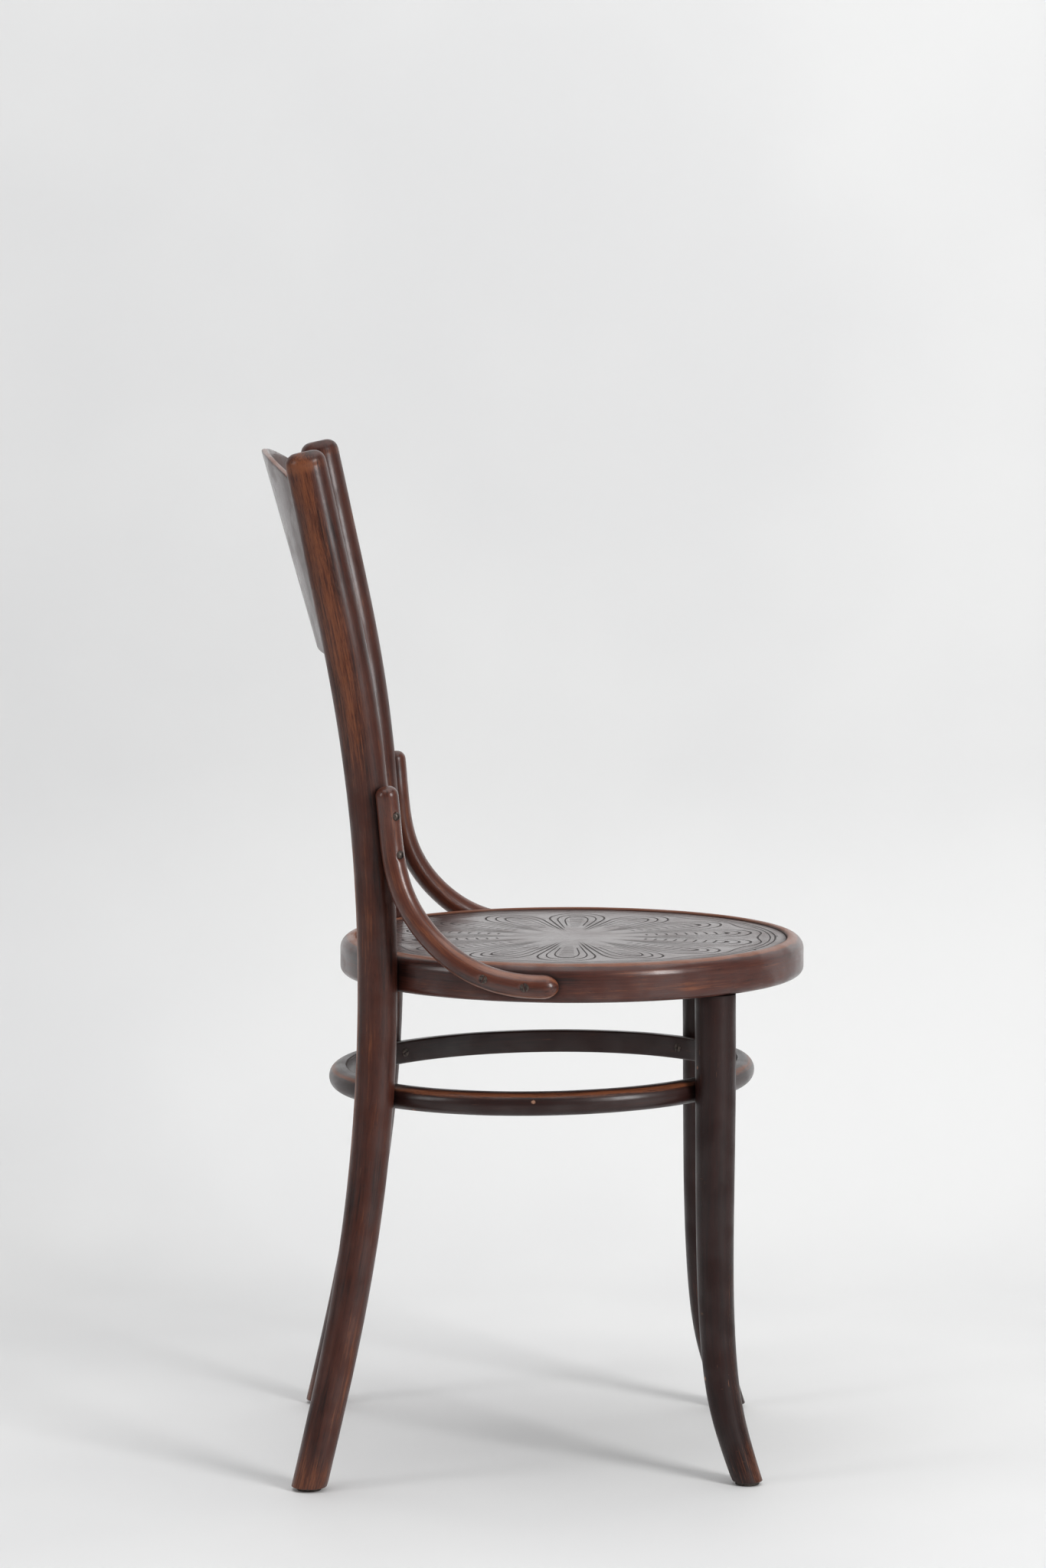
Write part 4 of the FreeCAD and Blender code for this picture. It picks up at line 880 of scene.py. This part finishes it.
def paint_crease_shade_and_dirt(pieces, reach=0.007):
    """Painted shade in the crease where two pieces meet, with the old dirt and polish that gather there: a
    number per vertex, 1 at the joint.
    """
    trees, places = {}, {}
    for node, piece in pieces.items():
        corners = [v.co for v in piece.data.vertices]
        trees[node] = BVHTree.FromPolygons(corners, [p.vertices for p in piece.data.polygons])
        places[node] = np.array(corners)
    for node, piece in pieces.items():
        points = places[node]
        crease_shade_and_dirt = np.zeros(len(points))
        for other, tree in trees.items():
            if other == node:
                continue
            low, high = places[other].min(0) - reach, places[other].max(0) + reach
            for index in np.flatnonzero(((points > low) & (points < high)).all(1)):
                distance = tree.find_nearest(Vector(points[index]), reach)[3]
                if distance is not None:
                    crease_shade_and_dirt[index] = max(crease_shade_and_dirt[index], 1 - distance / reach)
        paint(piece, "crease_shade_and_dirt", crease_shade_and_dirt)


# Paint shade and dirt into the creases where the pieces meet.
paint_crease_shade_and_dirt(wood_pieces)


# Shader groups

def new_group(name, inputs, outputs):
    """A shader group with its sockets. inputs and outputs are (name, kind, default)."""
    tree = bpy.data.node_groups.new(name, "ShaderNodeTree")
    for direction, sockets in (("INPUT", inputs), ("OUTPUT", outputs)):
        for label, kind, default in sockets:
            socket = tree.interface.new_socket(label, in_out=direction, socket_type=f"NodeSocket{kind}")
            if default is not None:
                socket.default_value = default
    wiring = Wiring(tree)
    return tree, wiring, wiring.node("NodeGroupInput").outputs, wiring.node("NodeGroupOutput").inputs


def stained_grain_group():
    """Streaks of stain along the grain, fine pores and slow cloudiness."""
    tree, w, given, out = new_group(
        "stained_grain",
        [("Grain", "Vector", None), ("Dark", "Color", (0.02, 0.006, 0.004, 1)),
         ("Middle", "Color", (0.1, 0.03, 0.018, 1)), ("Light", "Color", (0.3, 0.11, 0.045, 1)),
         ("Rub", "Float", 0.0), ("Warmth", "Float", 0.5), ("Streak Contrast", "Float", 1.0)],
        [("Color", "Color", None), ("Streaks", "Float", None), ("Height", "Float", None)])
    grain = given["Grain"]
    broad = w.noise(w.vector("MULTIPLY", grain, (90, 90, 7)), 1.0, 4, 0.6)
    fine = w.noise(w.vector("MULTIPLY", grain, (620, 620, 26)), 1.0, 5, 0.7)
    slow = w.noise(w.vector("MULTIPLY", grain, (26, 26, 15)), 1.0, 4, 0.55)
    flecks = w.noise(w.vector("MULTIPLY", grain, (1500, 1500, 140)), 1.0, 3, 0.6)
    pores = w.ease(flecks, 0.57, 0.68)
    tone = w.maths("ADD", w.maths("MULTIPLY", broad, 0.34), w.maths("MULTIPLY", fine, 0.36))
    tone = w.maths("ADD", tone, w.maths("MULTIPLY", slow, 0.3))
    tone = w.maths("MULTIPLY_ADD", w.maths("SUBTRACT", tone, 0.5), given["Streak Contrast"], 0.5)
    ragged = w.maths("ADD", w.maths("MULTIPLY", fine, 0.6), w.maths("MULTIPLY", flecks, 0.4))
    lifted = w.maths("MULTIPLY_ADD", given["Rub"], 0.42, ragged)
    worn = w.maths("MULTIPLY", w.ease(lifted, 0.6, 0.88), w.ease(given["Rub"], 0.02, 0.3))
    tone = w.maths("ADD", tone, w.maths("MULTIPLY", given["Warmth"], 0.1))
    lower = w.blend(w.ease(tone, 0.36, 0.58), given["Dark"], given["Middle"])
    upper = w.blend(w.ease(tone, 0.58, 0.8), lower, given["Light"])
    colour = w.blend(w.maths("MULTIPLY", worn, 0.9, clamp=True), upper, given["Light"])
    colour = w.blend(w.maths("MULTIPLY", pores, 0.55), colour, given["Dark"])
    w.join(colour, out["Color"])
    w.join(w.maths("MAXIMUM", worn, w.ease(tone, 0.4, 0.8)), out["Streaks"])
    height = w.maths("SUBTRACT", w.maths("MULTIPLY", fine, 0.35), w.maths("MULTIPLY", pores, 0.6))
    w.join(height, out["Height"])
    return tree


def knocks_group():
    """Short pale scratches and small chips down to bare wood."""
    tree, w, given, out = new_group(
        "knocks",
        [("Place", "Vector", None), ("Grain", "Vector", None), ("Amount", "Float", 0.5)],
        [("Chips", "Float", None), ("Scratches", "Float", None)])
    cells = w.fed("ShaderNodeTexVoronoi", {"Vector": given["Place"], "Scale": 48}, feature="F1")
    pick = w.split(cells.outputs["Color"])[0]
    chosen = w.ease(pick, w.maths("SUBTRACT", 1.0, w.maths("MULTIPLY", given["Amount"], 0.22)), 1.0)
    crumbs = w.maths("MULTIPLY", w.noise(given["Place"], 420, 2), 0.16)
    ragged = w.maths("ADD", cells.outputs["Distance"], crumbs)
    chip = w.maths("MULTIPLY", chosen, w.ease(ragged, 0.19, 0.13))
    w.join(w.maths("MULTIPLY", chip, 1.0, clamp=True), out["Chips"])
    along = w.noise(w.vector("MULTIPLY", given["Grain"], (1100, 1100, 60)), 1.0, 1, 0.4)
    slanted = w.noise(w.vector("MULTIPLY", given["Place"], (130, 170, 1500)), 1.0, 1, 0.4)
    where = w.ease(w.noise(given["Place"], 26, 2), 0.56, 0.66)
    lines = w.maths("MAXIMUM", w.ease(along, 0.74, 0.78), w.ease(slanted, 0.77, 0.8))
    lines = w.maths("MULTIPLY", w.maths("MULTIPLY", lines, where), given["Amount"], clamp=True)
    w.join(lines, out["Scratches"])
    return tree


def pressing_group():
    """The seat's pressed ornament: petals in double lines, short dashes and a scalloped border."""
    tree, w, given, out = new_group("seat_pressing", [("Place", "Vector", None)], [("Lines", "Float", None)])
    x, y, _ = w.split(given["Place"])
    x_mm = w.maths("MULTIPLY", x, 1 / MM)
    y_mm = w.maths("SUBTRACT", w.maths("MULTIPLY", y, 1 / MM), SEAT_Y)
    reach = w.reach(x_mm, y_mm)
    turn = w.maths("SUBTRACT", w.maths("ARCTAN2", y_mm, x_mm), LOBE_TURN)
    lobe = w.maths("FRACT", w.maths("ADD", w.maths("MULTIPLY", turn, LOBES / (2 * math.pi)), LOBES + 0.5))
    share = w.maths("MULTIPLY", w.maths("ABSOLUTE", w.maths("SUBTRACT", lobe, 0.5)), 2.0)
    pitch = w.maths("MULTIPLY", reach, math.pi / LOBES)
    dash_pitch = 9.0

    def line(distance, half_width):
        return w.ease(w.maths("ABSOLUTE", distance), half_width, half_width * 0.45)

    def between(start, full, end, gone):
        return w.maths("MULTIPLY", w.ease(reach, start, full), w.ease(reach, gone, end))

    def petal(width, shoulder, tip):
        side = w.maths("DIVIDE", share, width)
        past = w.maths("DIVIDE", w.maths("SUBTRACT", reach, shoulder), tip - shoulder)
        field = w.reach(side, w.maths("MAXIMUM", past, 0.0))
        return w.maths("MULTIPLY", w.maths("MULTIPLY", w.maths("SUBTRACT", field, 1.0), pitch), width)

    lines = [
        w.maths("MULTIPLY", line(petal(0.88, 120, 162), 1.2), between(34, 66, 170, 173)),
        w.maths("MULTIPLY", line(petal(0.66, 112, 152), 0.9), between(46, 80, 160, 163)),
        w.maths("MULTIPLY", line(petal(0.42, 104, 142), 0.8), between(75, 78, 150, 153)),
        line(w.maths("SUBTRACT", reach, 180.0), 1.2),
        line(w.maths("SUBTRACT", reach, 175.5), 0.9),
    ]
    wave = w.maths("MULTIPLY", w.maths("COSINE", w.maths("MULTIPLY", share, math.pi)), 3.2)
    lines.append(line(w.maths("SUBTRACT", reach, w.maths("ADD", wave, 167.5)), 1.2))
    dash_bow = w.maths("MULTIPLY", w.maths("MULTIPLY", share, share), 6.0)
    row = w.maths("FRACT", w.maths("DIVIDE", w.maths("ADD", reach, dash_bow), dash_pitch))
    dash = line(w.maths("MULTIPLY", w.maths("SUBTRACT", row, 0.5), dash_pitch), 1.3)
    half = w.maths("MULTIPLY", pitch, 0.24)
    width = w.ease(w.maths("SUBTRACT", w.maths("MULTIPLY", share, pitch), half), 0.4, -0.4)
    lines.append(w.maths("MULTIPLY", w.maths("MULTIPLY", dash, width), between(59, 60, 140, 141)))
    total = lines[0]
    for item in lines[1:]:
        total = w.maths("MAXIMUM", total, item)
    w.join(total, out["Lines"])
    return tree


DARK = (0.0115, 0.0038, 0.0032)
LIGHT = (0.2, 0.062, 0.024)
GRAIN_GROUP = stained_grain_group()
KNOCKS_GROUP = knocks_group()
PRESSING_GROUP = pressing_group()


def new_material(name):
    material = bpy.data.materials.new(name)
    material.use_nodes = True
    tree = material.node_tree
    tree.nodes.clear()
    wiring = Wiring(tree)
    shader = wiring.node("ShaderNodeBsdfPrincipled")
    output = wiring.node("ShaderNodeOutputMaterial")
    tree.links.new(shader.outputs[0], output.inputs[0])
    return material, wiring, shader.inputs


def attribute(w, name, output="Fac"):
    return w.node("ShaderNodeAttribute", attribute_name=name).outputs[output]


def varnished_wood(name, middle, warmth, knocks, gloss, contrast, polish, dark=DARK, light=LIGHT,
                   pressed=False):
    """Old stained beech under varnish: painted shade and dirt in the joints, rubbed edges, chips and
    scratches.
    """
    material, w, shader = new_material(name)
    coords = w.node("ShaderNodeTexCoord").outputs["Object"]
    grain = attribute(w, "grain", "Vector")
    wood = w.fed("ShaderNodeGroup", {
        "Grain": grain, "Dark": (*dark, 1), "Middle": (*middle, 1), "Light": (*light, 1),
        "Rub": attribute(w, "rub"), "Warmth": warmth, "Streak Contrast": contrast}, node_tree=GRAIN_GROUP)
    near_floor = w.ease(w.split(coords)[2], 0.28, 0.03)
    marks = w.fed("ShaderNodeGroup", {
        "Place": coords, "Grain": grain, "Amount": w.maths("MULTIPLY_ADD", near_floor, 0.45, knocks)},
        node_tree=KNOCKS_GROUP)
    crease_shade_and_dirt = w.maths("MULTIPLY", attribute(w, "crease_shade_and_dirt"), 0.85)
    colour = w.blend(w.maths("MULTIPLY", marks.outputs["Scratches"], 0.5), wood.outputs["Color"],
                     (0.36, 0.15, 0.08, 1))
    colour = w.blend(w.maths("MULTIPLY", marks.outputs["Chips"], 0.8), colour, (0.42, 0.22, 0.14, 1))
    # Painted shade with dirt: the colour darkens nearly to black towards each joint's crease.
    colour = w.blend(w.ease(crease_shade_and_dirt, 0.3, 0.95, 0.0, 0.85), colour, (0.006, 0.003, 0.0025, 1))
    lines = 0.0
    height = w.maths("SUBTRACT", wood.outputs["Height"], w.maths("MULTIPLY", marks.outputs["Chips"], 2.0))
    depth = 0.00008
    if pressed:
        pressing = w.fed("ShaderNodeGroup", {"Place": coords}, node_tree=PRESSING_GROUP)
        above = w.ease(w.split(coords)[2], (PANEL_TOP - 3) * MM, (PANEL_TOP - 2) * MM)
        lines = w.maths("MULTIPLY", pressing.outputs["Lines"], above)
        # Painted shade in the pressed grooves: the lines are coloured nearly black, besides being sunk by the
        # bump.
        colour = w.blend(w.maths("MULTIPLY", lines, 0.8), colour, (0.006, 0.0025, 0.002, 1))
        height = w.maths("SUBTRACT", w.maths("MULTIPLY", height, 0.12), lines)
        depth = 0.0007
    w.join(colour, shader["Base Color"])
    rough = w.maths("MULTIPLY_ADD", wood.outputs["Streaks"], 0.14, gloss)
    rough = w.maths("ADD", rough, w.maths("MULTIPLY", w.noise(coords, 70, 3), 0.1))
    dull = w.maths("MAXIMUM", marks.outputs["Chips"], w.maths("MAXIMUM", crease_shade_and_dirt, lines))
    rough = w.maths("MULTIPLY_ADD", dull, 0.3, rough)
    w.join(w.maths("MINIMUM", rough, 0.9), shader["Roughness"])
    bump = w.fed("ShaderNodeBump", {"Strength": 1.0, "Distance": depth, "Height": height})
    w.join(bump.outputs[0], shader["Normal"])
    coat = w.ease(w.noise(coords, 34, 3), 0.35, 0.6, *polish)
    w.join(w.maths("MULTIPLY", coat, w.maths("SUBTRACT", 1.0, dull, clamp=True)), shader["Coat Weight"])
    shader["Coat Roughness"].default_value = 0.22
    shader["IOR"].default_value = 1.5
    shader["Specular IOR Level"].default_value = 0.5 if pressed else 0.25
    return material


def aged_metal(name, colour, dirt, roughness):
    """Old steel that has darkened, with brighter rubbed high spots."""
    material, w, shader = new_material(name)
    coords = w.node("ShaderNodeTexCoord").outputs["Object"]
    blotches = w.ease(w.noise(coords, 420, 4), 0.42, 0.64)
    fine = w.noise(w.vector("MULTIPLY", coords, (1, 1, 4)), 900, 3)
    w.join(w.blend(blotches, (*colour, 1), (*dirt, 1)), shader["Base Color"])
    w.join(w.ease(blotches, 0.0, 1.0, 0.95, 0.55), shader["Metallic"])
    w.join(w.maths("MULTIPLY_ADD", fine, 0.25, roughness), shader["Roughness"])
    bump = w.fed("ShaderNodeBump", {"Distance": 0.00005, "Height": fine})
    w.join(bump.outputs[0], shader["Normal"])
    return material


woods = {
    "post_beech": dict(middle=(0.058, 0.0155, 0.009), warmth=0.5, knocks=0.4, gloss=0.32, contrast=1.3,
                       polish=(0.1, 0.4)),
    "leg_beech": dict(middle=(0.022, 0.006, 0.0045), warmth=0.12, knocks=0.6, gloss=0.34, contrast=1.1,
                      polish=(0.0, 0.25)),
    "rim_beech": dict(middle=(0.062, 0.0165, 0.0105), warmth=0.4, knocks=0.25, gloss=0.3, contrast=1.2,
                      polish=(0.3, 0.7)),
    "ring_beech": dict(middle=(0.024, 0.0072, 0.0055), warmth=0.15, knocks=0.3, gloss=0.32, contrast=1.1,
                       polish=(0.2, 0.5)),
    "brace_beech": dict(middle=(0.085, 0.022, 0.0115), warmth=0.6, knocks=0.3, gloss=0.3, contrast=1.4,
                        polish=(0.4, 0.9)),
    "back_ply": dict(middle=(0.05, 0.0145, 0.01), warmth=0.3, knocks=0.1, gloss=0.33, contrast=0.7,
                     polish=(0.5, 0.9)),
    "seat_ply": dict(middle=(0.045, 0.014, 0.0105), warmth=0.2, knocks=0.1, gloss=0.3, contrast=0.7,
                     polish=(0.6, 0.9), dark=(0.02, 0.0068, 0.0055), light=(0.1, 0.034, 0.02), pressed=True),
}
metals = {
    "glide_steel": dict(colour=(0.1, 0.085, 0.075), dirt=(0.035, 0.026, 0.022), roughness=0.5),
    "dark_screw": dict(colour=(0.13, 0.105, 0.09), dirt=(0.03, 0.02, 0.017), roughness=0.36),
    "bolt_steel": dict(colour=(0.34, 0.32, 0.3), dirt=(0.12, 0.09, 0.07), roughness=0.4),
    "brad_steel": dict(colour=(0.22, 0.19, 0.17), dirt=(0.06, 0.04, 0.03), roughness=0.45),
}
finishes = {name: varnished_wood(name, **look) for name, look in woods.items()}
finishes.update({name: aged_metal(name, **look) for name, look in metals.items()})

slots = {entry["node"]: entry["material_slot"] for entry in frame["record"]["subparts"]}
for node, piece in wood_pieces.items():
    piece.data.materials.clear()
    piece.data.materials.append(finishes[slots[node]])
SCREW_GROUP = screw_group()
dressed = {**wood_pieces, **make_screws()}
for node, piece in dressed.items():
    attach(piece, "root")
    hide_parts(node)
for node, solid in frame["nodes"].items():
    if node in dressed:
        continue
    if not solid.material_slots:
        solid.data.materials.append(None)
    for slot in solid.material_slots:
        slot.material = finishes[slots[node]]


# Floor, light and camera

def pale_stage():
    """A pale floor that curves up into a pale wall behind the chair."""
    near, far, wide, bend, high = -7.0, 1.15, 5.0, 0.5, 4.0
    profile = [(near, 0.0), (far - bend, 0.0)]
    for step in range(1, 17):
        turn = math.radians(90 * step / 16)
        profile.append((far - bend + bend * math.sin(turn), bend - bend * math.cos(turn)))
    profile.append((far, high))
    points = [(x, y, z) for x, z in profile for y in (-wide, wide)]
    faces = [(2 * k, 2 * k + 1, 2 * k + 3, 2 * k + 2) for k in range(len(profile) - 1)]
    mesh = bpy.data.meshes.new("pale_floor")
    mesh.from_pydata(points, [], faces)
    shape = bmesh.new()
    shape.from_mesh(mesh)
    bmesh.ops.reverse_faces(shape, faces=[f for f in shape.faces if f.normal.z < 0 or f.normal.x > 0.5])
    shape.to_mesh(mesh)
    shape.free()
    mesh.shade_smooth()
    floor = bpy.data.objects.new("pale_floor", mesh)
    bpy.context.scene.collection.objects.link(floor)
    material, w, shader = new_material("pale_paint")
    coords = w.node("ShaderNodeTexCoord").outputs["Object"]
    tone = w.ease(w.noise(coords, 1.4, 3), 0.3, 0.7, 0.0, 1.0)
    w.join(w.blend(tone, (0.74, 0.74, 0.74, 1), (0.8, 0.8, 0.795, 1)), shader["Base Color"])
    shader["Roughness"].default_value = 0.6
    mesh.materials.append(material)


def soft_lamp(name, place_at, aim, width, power, height):
    lamp = bpy.data.lights.new(name, "AREA")
    lamp.shape = "RECTANGLE"
    lamp.size = width
    lamp.size_y = height
    lamp.energy = power
    item = bpy.data.objects.new(name, lamp)
    item.location = place_at
    way = Vector(aim) - Vector(place_at)
    item.rotation_euler = way.to_track_quat("-Z", "Y").to_euler()
    bpy.context.scene.collection.objects.link(item)


def light_the_room():
    world = bpy.data.worlds.new("pale_room")
    bpy.context.scene.world = world
    world.use_nodes = True
    background = world.node_tree.nodes["Background"]
    background.inputs["Color"].default_value = (0.95, 0.97, 1.0, 1)
    background.inputs["Strength"].default_value = 0.2
    soft_lamp("window_front", (-2.3, -2.2, 1.7), (0, 0, 0.5), 0.9, 74, 1.6)
    soft_lamp("window_rear", (-1.4, 2.9, 1.5), (0, 0, 0.5), 0.8, 18, 1.4)
    soft_lamp("ceiling", (-0.2, 0.0, 3.4), (0, 0, 0.4), 3.6, 71, 3.6)


def set_camera():
    """The photograph's viewpoint, from the sitter's right side."""
    distance, aim_y, high = 4260.3, 67.3, 1014.6
    down, swing = math.radians(5.643), math.radians(-0.3225)
    focal_pixels, picture_height, sensor = 6331.5, 2048, 36
    forward = Vector((math.cos(down) * math.cos(swing), math.cos(down) * math.sin(swing), -math.sin(down)))
    right = Vector((math.sin(swing), -math.cos(swing), 0))
    up = right.cross(forward)
    data = bpy.data.cameras.new("photo_view")
    data.sensor_width = sensor
    data.lens = focal_pixels / picture_height * sensor
    camera = bpy.data.objects.new("photo_view", data)
    turn = Matrix((right, up, -forward)).transposed().to_4x4()
    camera.matrix_world = Matrix.Translation(Vector((-distance, aim_y + SEAT_Y, high)) * MM) @ turn
    bpy.context.scene.collection.objects.link(camera)
    bpy.context.scene.camera = camera


pale_stage()
light_the_room()
set_camera()
bpy.context.scene.view_settings.view_transform = "Standard"
